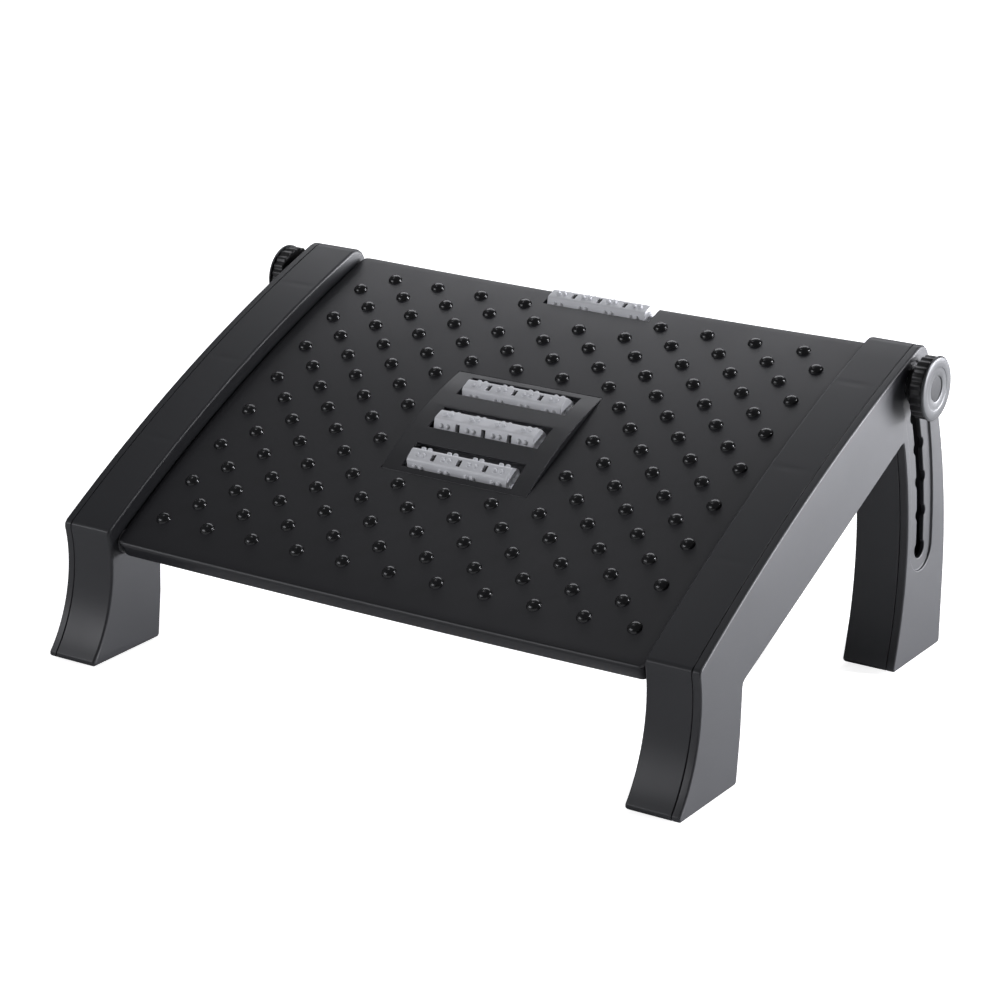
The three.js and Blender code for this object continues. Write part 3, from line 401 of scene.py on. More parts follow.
# %% [markdown]
# ## Flats made whole again
#
# A side of a leg frame is one flat with a hundred corners and several holes. Once points have moved out
# to their arcs, Blender's own filling of such a face can cross an opening. So every flat that is square
# to the width is filled anew by a Delaunay triangulation that keeps to the flat's outline, and only the
# triangles inside it stay. Which ones are inside is settled by counting how often a line crosses the
# outline.

# %% Refill the flats
SQUARE, SAME_POINT = 0.9999, 1e-5


def inside_outline(places, starts, ends):
    """Even-odd rule: a place is inside when a line from it crosses the outline an odd number of times."""
    y, z = places[:, None, 0], places[:, None, 1]
    spans = (starts[:, 1] > z) != (ends[:, 1] > z)
    rise = np.where(ends[:, 1] == starts[:, 1], 1.0, ends[:, 1] - starts[:, 1])
    crossing = starts[:, 0] + (z - starts[:, 1]) / rise * (ends[:, 0] - starts[:, 0])
    return (spans & (y < crossing)).sum(axis=1) % 2 == 1


def refill_flat(shape, faces, faces_right):
    """One flat that is square to the width: its faces go, and a Delaunay triangulation that keeps to
    its outline takes their place. Triangles in its holes are left out."""
    group = set(faces)
    rim = dict.fromkeys(edge for face in faces for edge in face.edges)
    outline = [edge for edge in rim if sum(face in group for face in edge.link_faces) == 1]
    corners = list(dict.fromkeys(vertex for edge in outline for vertex in edge.verts))
    at = {vertex: i for i, vertex in enumerate(corners)}
    flat = np.array([(vertex.co.y, vertex.co.z) for vertex in corners]) / MM
    pairs = [tuple(at[vertex] for vertex in edge.verts) for edge in outline]
    made = delaunay_2d_cdt([Vector(place) for place in flat], pairs, [], 1, SAME_POINT, True)
    if len(made[0]) != len(corners):
        return 0
    source = [ids[0] for ids in made[3]]
    triangles = np.array([[source[i] for i in triangle] for triangle in made[2]])
    ends = np.array(pairs)
    kept = triangles[inside_outline(flat[triangles].mean(axis=1), flat[ends[:, 0]], flat[ends[:, 1]])]
    bmesh.ops.delete(shape, geom=faces, context="FACES_ONLY")
    for triangle in kept:
        shape.faces.new([corners[i] for i in (triangle if faces_right else triangle[::-1])])
    return len(kept)


def refill_flats(shape):
    """Sorts the square faces by where they are across and which way they look, and refills each set."""
    shape.normal_update()
    flats = {}
    for face in shape.faces:
        if abs(face.normal.x) > SQUARE:
            place = round(face.verts[0].co.x / MM, 1)
            flats.setdefault((place, face.normal.x > 0), []).append(face)
    counts = [refill_flat(shape, faces, key[1]) for key, faces in flats.items()]
    loose = [edge for edge in shape.edges if not edge.link_faces]
    bmesh.ops.delete(shape, geom=loose, context="EDGES")
    print("flats refilled:", len(counts), "left alone:", counts.count(0), "triangles:", sum(counts))


# %% [markdown]
# ## Copies with a mould's edges
#
# Any mould leaves a tiny radius on each sharp edge, and that radius is what catches the light on a real
# part. A bevel modifier adds it to the smoothed copy, and weighted normals keep the flats beside it
# looking flat. The copy then stands in for the solid. A right-hand frame is the left-hand one's mirror
# image, as its mould would be.

# %% Copies, mirror images and mould edges
MERGE, FLAT_ANGLE = 4e-6, 0.4


def smooth_copy(node, name, arcs=()):
    """The solid's mesh with its flats made whole and its arcs made round."""
    shape = bmesh.new()
    shape.from_mesh(frame["nodes"][node].data)
    bmesh.ops.remove_doubles(shape, verts=shape.verts, dist=MERGE)
    angle = math.radians(FLAT_ANGLE)
    bmesh.ops.dissolve_limit(shape, angle_limit=angle, verts=shape.verts, edges=shape.edges)
    added = sum(push_to_arc(shape, *arc) for arc in arcs)
    if arcs:
        refill_flats(shape)
    shape.normal_update()
    mesh = bpy.data.meshes.new(name)
    shape.to_mesh(mesh)
    shape.free()
    print(f"{name}: {added} points pushed out to arcs")
    return mesh


def mirror_image(mesh, name):
    """The same mesh with across negated and its faces turned outwards again."""
    twin = mesh.copy()
    twin.name = name
    places = np.empty(len(twin.vertices) * 3, np.float32)
    twin.vertices.foreach_get("co", places)
    places[0::3] *= -1
    twin.vertices.foreach_set("co", places)
    twin.flip_normals()
    return twin


def moulding(node, name, body, bevel, mesh=None, sharp=32, material=None):
    """A smoothed copy of a solid, or the mesh that is given, with a bevel on every edge sharper than the
    angle. It replaces the solid."""
    mesh = mesh or smooth_copy(node, name)
    piece = add_piece(name, mesh, body, slot_of[node], (node,), material)
    shade(piece, sharp)
    edge = piece.modifiers.new("mould radius", "BEVEL")
    edge.width, edge.segments = bevel * MM, 2
    edge.limit_method, edge.angle_limit = "ANGLE", math.radians(sharp)
    edge.use_clamp_overlap = False
    edge.loop_slide = False
    weight = piece.modifiers.new("even shading", "WEIGHTED_NORMAL")
    weight.keep_sharp = False
    return piece


# %% [markdown]
# ## The leg frames
#
# Each leg frame is an upside-down V of two mouldings: a deep shell towards the deck and a shallow cover
# outside, with a fine seam round the edge. The curves are arcs with known centres, so they can be made
# truly round: the hollow of the front leg, the heel, the arched rail, and the slot about the pivot with
# its six round seats.

# %% Arcs of the leg frames
WAIST_RADIUS, WAIST_FACE, WAIST_HEIGHT = 97.6, -154.88, 66.0
HEEL_RADIUS, HEEL_FACE, HEEL_HEIGHT = 345.0, 177.0, 50.0
SLOT_HALF, BAND_HALF, LEG_EDGE = 4.0, 15.5, 21.7
SEAT_RADIUS, SEATS, SEAT_STEP = 5.75, 6, 5
# How far from its arc an edge of each kind may lie.
WALLS, BAND, SLOT, SEAT = 6.5, 4.0, 1.5, 0.3


def seat(degrees):
    """A seat's middle: the clamp radius from the pivot, at an angle above the level."""
    angle = math.radians(degrees)
    return PIVOT + CLAMP_RADIUS * np.array([math.cos(angle), math.sin(angle)])


# Each arc is its centre, its radius, one of those four reaches, and the step in degrees.
FRAME_ARCS = [
    ((WAIST_FACE - WAIST_RADIUS, WAIST_HEIGHT), WAIST_RADIUS, WALLS, 2.5),
    ((HEEL_FACE - HEEL_RADIUS, HEEL_HEIGHT), HEEL_RADIUS, WALLS, 1.5),
    (tilted(CROWN_Y, CROWN_Z), ARCH_RADIUS + RAIL_RISE, WALLS, 0.8),
    (PIVOT, CLAMP_RADIUS - LEG_EDGE, WALLS, 1.5),
    (PIVOT, CLAMP_RADIUS + BAND_HALF, BAND, 0.8),
    (PIVOT, CLAMP_RADIUS - BAND_HALF, BAND, 0.8),
    (PIVOT, CLAMP_RADIUS + SLOT_HALF, SLOT, 0.8),
    (PIVOT, CLAMP_RADIUS - SLOT_HALF, SLOT, 0.8),
    *[(seat(SEAT_STEP * i), SEAT_RADIUS, SEAT, 9) for i in range(SEATS)],
    *[(seat(SEAT_STEP * i), BAND_HALF, SEAT, 6) for i in (0, SEATS - 1)],
]
print("arcs of a leg frame:", len(FRAME_ARCS))

# %% [markdown]
# ## The slot and the feet
#
# The photo shows the slot in the cover about a quarter wider than in the solid, where its width is
# held by what runs in it. The slot could be cut again, but moving its outline out from its middle line
# keeps every seat in place. The pads under the feet are plain blocks of rubber, so a small edge radius
# is all they need.

# %% Shells, covers and pads
SLOT_WIDENING, FRAME_EDGE, PAD_EDGE = 1.25, 0.6, 0.3


def open_slot(mesh, widening):
    """Moves the slot's edge out from its middle line, which is the clamp radius about the pivot and
    stops at the first and the last seat: place = middle + (place - middle) times widening."""
    places = np.empty(len(mesh.vertices) * 3, np.float32)
    mesh.vertices.foreach_get("co", places)
    places = places.reshape(-1, 3) / MM
    flat = places[:, 1:] - PIVOT
    turn = np.clip(np.arctan2(flat[:, 1], flat[:, 0]), 0, REST_TILT)
    middle = CLAMP_RADIUS * np.stack([np.cos(turn), np.sin(turn)], axis=-1)
    inside = np.linalg.norm(flat - middle, axis=1) < SEAT_RADIUS + SEAT
    places[inside, 1:] = (PIVOT + middle + (flat - middle) * widening)[inside]
    mesh.vertices.foreach_set("co", (places * MM).ravel())
    print("slot points moved:", int(inside.sum()))


for part, short in (("frame_shell", "shell"), ("frame_cover", "cover")):
    left_mesh = smooth_copy(f"left_{part}", f"left_{short}_moulding", FRAME_ARCS)
    if short == "cover":
        open_slot(left_mesh, SLOT_WIDENING)
    right_mesh = mirror_image(left_mesh, f"right_{short}_moulding")
    for side, mesh in (("left", left_mesh), ("right", right_mesh)):
        moulding(f"{side}_{part}", f"{side}_{short}_moulding", "frames", FRAME_EDGE, mesh)
for side in ("left", "right"):
    for end in ("front", "rear"):
        moulding(f"{side}_{end}_foot_pad", f"{side}_{end}_pad_moulding", "frames", PAD_EDGE)

# %% [markdown]
# ## The deck's outline
#
# The deck is one shallow dished arch with a rounded rim, and its solid underneath keeps the ribs. What
# shows from above is drawn as a skin. Seen from above each ring of the skin is a rounded rectangle with
# a notch in its rear edge. The right half of the outline is laid down piece by piece, and the left half
# is its mirror image.

# %% Outline of the plate
DECK_FRONT, DECK_REAR = -155.85, 160.65
CORNER_ROUND, RIM_ROUND = 6.0, 2.5
PANEL_WIDTH, PANEL_LENGTH, PANEL_MIDDLE, PANEL_GAP = 111.4, 102.0, 4.95, 0.25
NOTCH_HALF, NOTCH_LENGTH, NOTCH_FLARE = 42.0, 17.0, 2
FRONT_POINTS, SIDE_POINTS, REAR_POINTS, CORNER_POINTS, NOTCH_POINTS = 40, 32, 16, 9, 6
MIRROR = np.array([-1, 1, -1, 1, -1, 1, 1])


def outline_part(x, s, dx, ds, qx, qs, rim=True):
    """Columns of seven numbers: place (across, along), the direction into the plate, the matching place
    on the panel's opening, and whether the rim is full or only the turned-down edge of the notch."""
    return np.stack(np.broadcast_arrays(x, s, dx, ds, qx, qs, float(rim)), axis=-1)


def deck_outline():
    """The plan's outline, anticlockwise from the front left corner."""
    middle, half = (DECK_FRONT + DECK_REAR) / 2, (DECK_REAR - DECK_FRONT) / 2
    straight_x, straight_s = DECK_HALF - CORNER_ROUND, half - CORNER_ROUND
    open_x, open_s = PANEL_WIDTH / 2 + PANEL_GAP, PANEL_LENGTH / 2 + PANEL_GAP
    notch_end, notch_x = DECK_REAR - NOTCH_LENGTH, NOTCH_HALF + NOTCH_FLARE
    quarter = np.radians(np.linspace(-90, 0, CORNER_POINTS)[1:-1])
    cos, sin = np.cos(quarter), np.sin(quarter)
    corner_x, low_s, high_s = straight_x + CORNER_ROUND * cos, middle - straight_s, middle + straight_s

    across = np.linspace(-straight_x, straight_x, FRONT_POINTS)
    front = outline_part(across, DECK_FRONT, 0, 1, across / straight_x * open_x, -open_s)
    front_corner = outline_part(corner_x, low_s + CORNER_ROUND * sin, -cos, -sin, open_x, -open_s)
    along = np.linspace(-straight_s, straight_s, SIDE_POINTS)
    side = outline_part(DECK_HALF, middle + along, -1, 0, open_x, along / straight_s * open_s)
    turned_x, turned_s = straight_x - CORNER_ROUND * sin, high_s + CORNER_ROUND * cos
    rear_corner = outline_part(turned_x, turned_s, sin, -cos, open_x, open_s)
    rear_x = np.linspace(straight_x, NOTCH_HALF, REAR_POINTS)
    share = (rear_x - NOTCH_HALF) / (straight_x - NOTCH_HALF)
    rear = outline_part(rear_x, DECK_REAR, 0, -1, notch_x + share * (open_x - notch_x), open_s)
    wall_s = np.linspace(DECK_REAR - RIM_ROUND, notch_end, NOTCH_POINTS)
    wall_q = NOTCH_HALF + NOTCH_FLARE * (wall_s - notch_end) / NOTCH_LENGTH
    wall = outline_part(NOTCH_HALF, wall_s, 1, 0, wall_q, open_s, rim=False)
    floor_x = np.linspace(NOTCH_HALF, 0, NOTCH_POINTS)[1:-1]
    floor = outline_part(floor_x, notch_end, 0, -1, floor_x, open_s, rim=False)

    right = np.concatenate([front, front_corner, side, rear_corner, rear, wall, floor])
    left = right[FRONT_POINTS:][::-1] * MIRROR
    centre = outline_part(0.0, notch_end, 0, -1, 0, open_s, rim=False)[None]
    return np.concatenate([right, centre, left])


print("places round the deck's outline:", len(deck_outline()))

# %% [markdown]
# ## The deck's skin
#
# The skin is a closed band of points: it starts at the edge of the panel's opening, runs out over the
# arch, rolls over the rim, goes down the lip and comes back inside the plate. So the whole skin is one
# grid, as many columns as places round the outline and as many rows as rings, and it lies a twentieth
# of a millimetre proud of the solid, so that the two never show at once.

# %% Rings of the skin
LIP_DEPTH, LIP_ROUND = 11.5, 1
SKIN_WALL, SKIN_INSIDE, OPENING_DEPTH = 1.6, 1.2, 1.0
PROUD = 0.05
FIELD_RINGS, RIM_RINGS, LIP_RINGS = 26, 8, 4


def rim_rings():
    """How far inside the outline and how far above the arch each ring of the rim lies. Over the rounded
    edge d = r (1 - sin t) and up = r (cos t - 1); then straight down the lip, round its lower edge and
    back up inside the plate."""
    t = np.radians(np.linspace(0, 90, RIM_RINGS))
    low = np.radians(np.linspace(0, 90, LIP_RINGS))
    d = [RIM_ROUND * (1 - np.sin(t)), LIP_ROUND * (1 - np.cos(low)), [SKIN_WALL, SKIN_WALL]]
    up = [RIM_ROUND * (np.cos(t) - 1), LIP_ROUND * (1 - np.sin(low)) - LIP_DEPTH, [-LIP_DEPTH, -SKIN_INSIDE]]
    up = np.concatenate(up)
    outside = np.arange(len(up)) < RIM_RINGS + LIP_RINGS
    return np.concatenate(d) - PROUD, up + np.where(outside, PROUD * np.sign(up + RIM_ROUND), 0)


def deck_skin():
    """Between the opening and the rim the rings are shares of the way from one outline to the other.
    Along the notch the rim is only a turned-down edge. Every ring is then laid on the arch."""
    columns = deck_outline()
    place, inward, rim = columns[:, 0:2], columns[:, 2:4], columns[:, 6]
    opening = columns[:, 4:6] + np.array([0, PANEL_MIDDLE])
    d, up = rim_rings()
    notch_d = np.concatenate([np.full(len(d) - 1, -PROUD), [SKIN_WALL]])
    notch_up = np.concatenate([np.linspace(PROUD, -OPENING_DEPTH, len(d) - 1), [-OPENING_DEPTH]])
    full = rim[None, :] > 0.5
    ring_d = np.where(full, d[:, None], notch_d[:, None])
    ring_up = np.where(full, up[:, None], notch_up[:, None])
    rings = place[None] + ring_d[..., None] * inward[None]
    share = np.linspace(0, 1, FIELD_RINGS)[:-1]
    field = opening[None] + share[:, None, None] * (rings[0] - opening)[None]
    field_up = np.full(field.shape[:2], PROUD)
    under_up = np.full((1, len(columns)), -OPENING_DEPTH)
    all_rings = np.concatenate([opening[None], field, rings])
    all_up = np.concatenate([under_up, field_up, ring_up])
    points = on_arch(all_rings[..., 0], all_rings[..., 1], all_up)
    return points.reshape(-1, 3), grid_faces(*points.shape[:2], close_rows=True, close_columns=True)


skin = add_piece("deck_skin", mesh_from("deck_skin", *deck_skin()), "deck", "deck_plastic")
shade(skin, 40)

# %% [markdown]
# ## Nubs
#
# The deck carries sixteen rows of low domes, each row set half a step from its neighbours, with room
# left for the panel and the notch. A dome is a profile of radius and height turned about its own
# upright. One mesh with an array modifier could repeat it, but not round the panel and over an arch. So
# the whole field is one array of places times rings times points round each ring.

# %% Nubs
NUB_ROWS, NUB_HALF_PITCH, NUBS_ACROSS, NUB_MIDDLE, NUB_MARGIN = 16, 17.9, 10, 5.65, 24.53
NUB_ROW_PITCH = (DECK_REAR - DECK_FRONT - 2 * NUB_MARGIN) / (NUB_ROWS - 1)
PANEL_CLEAR, NOTCH_CLEAR, NUB_AROUND = 3, 7.8, 16
NUB_RADII = np.array([5.25, 4.95, 4.7, 4.3, 3.6, 2.6, 1.4, 0.35])
NUB_HEIGHTS = np.array([-0.3, 0.1, 0.75, 1.45, 2.1, 2.62, 2.9, 2.97])


def nub_places():
    """Rows along the arch and half steps across; a place is used where row plus step is odd."""
    row, step = np.meshgrid(np.arange(NUB_ROWS), np.arange(-NUBS_ACROSS, NUBS_ACROSS + 1), indexing="ij")
    along = NUB_MIDDLE + ((NUB_ROWS - 1) / 2 - row) * NUB_ROW_PITCH
    x = step * NUB_HALF_PITCH
    on_panel = np.abs(x) < PANEL_WIDTH / 2 + PANEL_CLEAR
    on_panel &= np.abs(along - PANEL_MIDDLE) < PANEL_LENGTH / 2 + PANEL_CLEAR
    on_notch = (np.abs(x) < NOTCH_HALF) & (along > DECK_REAR - NOTCH_LENGTH - NOTCH_CLEAR)
    used = ((row + step) % 2 != 0) & ~on_panel & ~on_notch
    return x[used], along[used]


def rings_round(radii, around):
    """The two plane coordinates of each ring's points: r cos a and r sin a."""
    angle = np.linspace(0, 2 * np.pi, around, endpoint=False)
    return radii[None, :, None] * np.cos(angle), radii[None, :, None] * np.sin(angle)


def dome_mesh(name, points):
    """Domes from points in the order dome, ring, place on the ring. Quads join the rings, and one face
    with many corners closes each top and each foot."""
    count, rings, around = points.shape[:3]
    starts = np.arange(count) * rings * around
    quads = (starts[:, None, None] + grid_faces(rings, around, close_columns=True)).reshape(-1, 4)
    tops = starts[:, None] + (rings - 1) * around + np.arange(around)
    feet = starts[:, None] + np.arange(around)[::-1]
    mesh = bpy.data.meshes.new(name)
    places = points.reshape(-1, 3) * MM
    mesh.from_pydata(places.tolist(), [], quads.tolist() + tops.tolist() + feet.tolist())
    return mesh


nub_x, nub_along = (values[:, None, None] for values in nub_places())
round_x, round_along = rings_round(NUB_RADII, NUB_AROUND)
nub_points = on_arch(nub_x + round_x, nub_along + round_along, NUB_HEIGHTS[None, :, None])
nub_mesh = dome_mesh("deck_nubs", nub_points)
nubs = add_piece("deck_nubs", nub_mesh, "deck", "deck_plastic", material=polished_nub)
shade(nubs, 60)
print(len(nub_points), "nubs")

# %% [markdown]
# ## The panel and the keepers
#
# The roller panel is a shallow arch with three windows, and its keeper closes it from below. Two small
# keepers hold the fourth roller's stubs. Their shapes are right as solids, so they are kept as smoothed
# mouldings.

# %% Panel and keepers
PANEL_EDGE, KEEPER_EDGE = 0.4, 0.25

# The panel wears the lighter copy of the deck's black, which paints light on it.
moulding("roller_panel", "panel_moulding", "deck", PANEL_EDGE, sharp=30, material=panel_black_painted_light)
moulding("roller_keeper", "keeper_moulding", "deck", KEEPER_EDGE)
for side in ("left", "right"):
    moulding(f"{side}_edge_keeper", f"{side}_edge_keeper_moulding", "deck", KEEPER_EDGE)

# %% [markdown]
# ## Where the rollers lie
#
# The rollers are hexagonal bars with soft corners. Each lies at its own place under the panel's arch or
# in the notch and has come to rest at its own spin, which the solids share. What stands on a bar's side
# is told by three numbers again: along the bar, across the side and out from the axis.

# %% Rollers: places and spins
ROLLER_CORNER, SIDES = 9.3, 6
ROLLER_FLAT = ROLLER_CORNER * math.cos(math.pi / SIDES)
ROLLER_PITCH, ROLLER_DEPTH, PANEL_CROWN = 35.75, 5.3, 4
EDGE_INSET, EDGE_DEPTH, ROLLER_EDGE = 7, 5.0, 0.45
ROLLER_SPIN = {"front": 73, "middle": -4, "rear": 64, "edge": 62}


def panel_rise(along):
    """The panel's crown, which falls off with the square of along over half the panel's length."""
    return PANEL_CROWN * (1 - (along / (PANEL_LENGTH / 2)) ** 2)


ROLLER_PLACES = {
    "front": (PANEL_MIDDLE - ROLLER_PITCH, panel_rise(ROLLER_PITCH) - ROLLER_DEPTH),
    "middle": (PANEL_MIDDLE, panel_rise(0) - ROLLER_DEPTH),
    "rear": (PANEL_MIDDLE + ROLLER_PITCH, panel_rise(ROLLER_PITCH) - ROLLER_DEPTH),
    "edge": (DECK_REAR - EDGE_INSET, -EDGE_DEPTH),
}


def on_side(name, side, x, v, w):
    """Points on a side of a roller: x along the bar, v across the side and w out from the axis. The
    side's upright leans from the z axis by a sixth of a turn for each side, plus the roller's spin."""
    along, up = ROLLER_PLACES[name]
    axis = on_arch(0.0, along, up)
    spin = REST_TILT + math.radians(ROLLER_SPIN[name]) - along / ARCH_RADIUS
    lean = (side + 0.5) * 2 * np.pi / SIDES - np.pi / 2 + spin
    y = axis[1] + v * np.cos(lean) - w * np.sin(lean)
    z = axis[2] + v * np.sin(lean) + w * np.cos(lean)
    return np.stack(np.broadcast_arrays(x, y, z), axis=-1)


print("rollers at", {name: [round(n, 2) for n in place] for name, place in ROLLER_PLACES.items()})

# %% [markdown]
# ## Studs and dark slots
#
# Every side of a bar carries four pairs of studs with rounded tops, and every other side has three slots.
# The slots are dark in the photo, because the bar is hollow there. A hollow bar would need a second skin, so
# a dark block in each slot, just under the bar's face, is painted shade that stands in for the hollow.

# %% Rollers with their studs
STUD_PITCH, STUD_PAIR, STUD_SHIFT, STUD_AROUND = 20.0, 5.0, -1.8, 10
STUD_RADII = np.array([1.75, 1.68, 1.4, 0.9, 0.25])
STUD_HEIGHTS = np.array([-0.4, 0.6, 1.2, 1.55, 1.65])
# Each slot holds a dark block of painted shade, its near face just under the bar's face and its far face
# deeper.
SLOT_WIDTH, SLOT_LENGTH, SLOT_SHADE, SHADE_FLOOR = 3.2, 5.2, 0.3, 2.5
BLOCK_X, BLOCK_V = np.array([-1, 1, 1, -1, -1, 1, 1, -1]), np.array([-1, -1, 1, 1, -1, -1, 1, 1])
BLOCK_FACES = [[3, 2, 1, 0], [4, 5, 6, 7], [0, 1, 5, 4], [1, 2, 6, 5], [2, 3, 7, 6], [3, 0, 4, 7]]


def roller_studs(name):
    """Four pairs of studs on every side, each a dome whose foot is sunk a little into the bar."""
    pairs, ends = [-1.5, -0.5, 0.5, 1.5], [-0.5, 0.5]
    side, pair, end = (a.ravel() for a in np.meshgrid(np.arange(SIDES), pairs, ends, indexing="ij"))
    foot = STUD_SHIFT + pair * STUD_PITCH + end * STUD_PAIR
    u, v = rings_round(STUD_RADII, STUD_AROUND)
    w = ROLLER_FLAT + STUD_HEIGHTS[None, :, None] + np.zeros_like(u)
    return on_side(name, side[:, None, None], foot[:, None, None] + u, v, w)


def roller_slot_shades(name):
    """Three dark blocks on every other side, each of eight corners about the slot's middle. They are painted
    shade for the hollow behind each slot.
    """
    side, place = (a.ravel() for a in np.meshgrid([0, 2, 4], [-1, 0, 1], indexing="ij"))
    x = (place * STUD_PITCH)[:, None] + BLOCK_X * SLOT_WIDTH / 2
    w = ROLLER_FLAT - np.array([SHADE_FLOOR] * 4 + [SLOT_SHADE] * 4)
    points = on_side(name, side[:, None], x, BLOCK_V * SLOT_LENGTH / 2, w)
    faces = (np.arange(len(side))[:, None, None] * 8 + np.array(BLOCK_FACES)).reshape(-1, 4)
    return points.reshape(-1, 3), faces


for name in ROLLER_PLACES:
    body = f"{name}_roller_body"
    # Painted shade: a dark block in each slot stands for the hollow inside the bar.
    slot_shade_mesh = mesh_from(f"{name}_roller_slot_shade", *roller_slot_shades(name))
    add_piece(f"{name}_roller_slot_shade", slot_shade_mesh, body, "foot_rubber")
    moulding(f"{name}_roller", f"{name}_roller_moulding", body, ROLLER_EDGE, sharp=25)
    stud_mesh = dome_mesh(f"{name}_roller_studs", roller_studs(name))
    studs = add_piece(f"{name}_roller_studs", stud_mesh, body, "roller_plastic")
    shade(studs, 60)

# %% [markdown]
# ## Turned shapes for the knobs
#
# A knob is a black grip with a fluted rim and a silver cap over its face. All its pieces are turned:
# a profile of radius and distance across, carried round the clamp bolt's axis. On the grip the radius
# also follows the flutes, which dip between the ridges. A grip could be cut by a boolean for each
# flute, but one formula over the whole grid gives cleaner faces.

# %% Profiles carried round the bolt
KNOB_START, HUB_LENGTH, KNOB_THICK = 240.3, 6.0, 8.5
KNOB_BODY = KNOB_START + HUB_LENGTH
KNOB_FACE = KNOB_BODY + KNOB_THICK
FLUTES, FLUTE_DEPTH, FLUTE_SHAPE, FLUTE_START, FLUTE_POINTS = 22, 1.0, 1.5, 19.2, 10


def turned(profile, around, side, ripple=None):
    """Points at (side * across, axis + r cos a, axis + r sin a), with r less by the ripple."""
    radius, across = np.array(profile).T
    angle = np.linspace(0, 2 * np.pi, around, endpoint=False)
    r = np.broadcast_to(radius[:, None], (len(radius), around)).copy()
    if ripple is not None:
        r -= ripple(radius[:, None], angle[None, :])
    x = np.broadcast_to(side * across[:, None], r.shape)
    points = np.stack([x, CLAMP[0] + r * np.cos(angle), CLAMP[1] + r * np.sin(angle)], axis=-1)
    return points.reshape(-1, 3), grid_faces(len(radius), around, close_columns=True)


def flutes(radius, angle):
    """Depth times one minus the bow, only on the outer rim. The bow is the size of the cosine of half
    the flutes' count times the angle, to a power that narrows the ridges and softens the dips."""
    bow = np.abs(np.cos(angle * FLUTES / 2)) ** FLUTE_SHAPE
    return FLUTE_DEPTH * (1 - bow) * (radius > FLUTE_START)


def rounded_rim(radius, low, high, round_by, steps=5):
    """Radius and across along a rim with both edges rounded."""
    t = np.radians(np.linspace(0, 90, steps))
    first = [(radius - round_by * (1 - math.sin(a)), low + round_by * (1 - math.cos(a))) for a in t]
    last = [(radius - round_by * (1 - math.cos(a)), high - round_by * (1 - math.sin(a))) for a in t]
    return first + last


print("knob from", KNOB_START, "to", KNOB_FACE, "across, with", FLUTES, "flutes")

# %% [markdown]
# ## The hand knobs
#
# The grip's hub stands on the washer in the sunk band, and its bore hides the nut. The cap has a rounded
# edge, a shallow ring that catches the light and a recess with a disc in it, darker and less glossy than the
# cap: a painted dark reflection. A ring as fine as this is easier to set in a profile than to model by hand.

# %% Grips, caps and discs
BORE_RADIUS, BORE_DEPTH, BORE_EDGE, HUB_RADIUS, HUB_EDGE, HUB_ROOT = 6.1, 9.2, 0.3, 12.0, 0.6, 0.8
GRIP_RADIUS, GRIP_ROUND, GRIP_FLAT, GRIP_SHARP, CAP_SHARP = 20.6, 1.2, 18.0, 35, 28
CAP_GAP, CAP_THICK, CAP_RADIUS, CAP_AROUND = 0.3, 2.0, 21.2, 96
CAP_BACK = KNOB_FACE + CAP_GAP
CAP_FRONT = CAP_BACK + CAP_THICK
CAP_HEEL = [(0, 0), (20.8, 0), (CAP_RADIUS, 0.3)]
CAP_EDGE = [(CAP_RADIUS, 1.1), (21.05, 0.8), (20.2, 0.12), (19.8, 0)]
CAP_RING = [(14.5, 0), (14.1, 0.08), (13.8, 0.25), (13.3, 0.25), (13.0, 0.3), (12.6, 0.3)]
CAP_RECESS = [(9.0, 0.35), (8.5, 0.5), (8.2, 1.0), (8.0, 1.2), (0, 1.2)]
DISC_RINGS = [(0, 1.25), (7.6, 1.25), (7.7, 1.1), (7.5, 0.95), (6.0, 0.83), (0, 0.75)]


def grip_profile():
    """Out of the bore, over the hub's end, along the hub, round the rim and in over the face."""
    profile = [(0, KNOB_START + BORE_DEPTH), (BORE_RADIUS, KNOB_START + BORE_DEPTH)]
    profile += [(BORE_RADIUS, KNOB_START + BORE_EDGE), (BORE_RADIUS + BORE_EDGE, KNOB_START)]
    profile += [(HUB_RADIUS - HUB_EDGE, KNOB_START), (HUB_RADIUS, KNOB_START + HUB_EDGE)]
    profile += [(HUB_RADIUS, KNOB_BODY - HUB_ROOT), (HUB_RADIUS + HUB_ROOT, KNOB_BODY)]
    profile += [(GRIP_FLAT, KNOB_BODY), *rounded_rim(GRIP_RADIUS, KNOB_BODY, KNOB_FACE, GRIP_ROUND)]
    return profile + [(GRIP_FLAT, KNOB_FACE), (0, KNOB_FACE)]


def below_front(rings):
    """A profile from pairs of radius and depth below the cap's front."""
    return [(radius, CAP_FRONT - depth) for radius, depth in rings]


def knob_pieces(side, sign):
    """The grip and the cap, which replace their solids, and the disc in the cap's recess, whose darker,
    duller finish is a painted dark reflection.
    """
    body = f"{side}_knob"
    grip_mesh = mesh_from(f"{side}_knob_grip", *turned(grip_profile(), FLUTES * FLUTE_POINTS, sign, flutes))
    grip = add_piece(f"{side}_knob_grip", grip_mesh, body, "knob_plastic", (f"{side}_knob_body",))
    shade(grip, GRIP_SHARP)
    back = [(radius, CAP_BACK + across) for radius, across in CAP_HEEL]
    cap_profile = back + below_front(CAP_EDGE + CAP_RING + CAP_RECESS)
    cap_mesh = mesh_from(f"{side}_cap", *turned(cap_profile, CAP_AROUND, sign))
    cap = add_piece(f"{side}_cap", cap_mesh, body, "silver_cap", (f"{side}_knob_cap",))
    shade(cap, CAP_SHARP)
    # The disc's own finish paints the dark reflection of the recess.
    disc_mesh = mesh_from(f"{side}_cap_disc", *turned(below_front(DISC_RINGS), CAP_AROUND, sign))
    disc = add_piece(f"{side}_cap_disc", disc_mesh, body, "silver_cap", material=cap_disc_dark_reflection)
    shade(disc, CAP_SHARP)


for side, sign in (("left", -1), ("right", 1)):
    knob_pieces(side, sign)

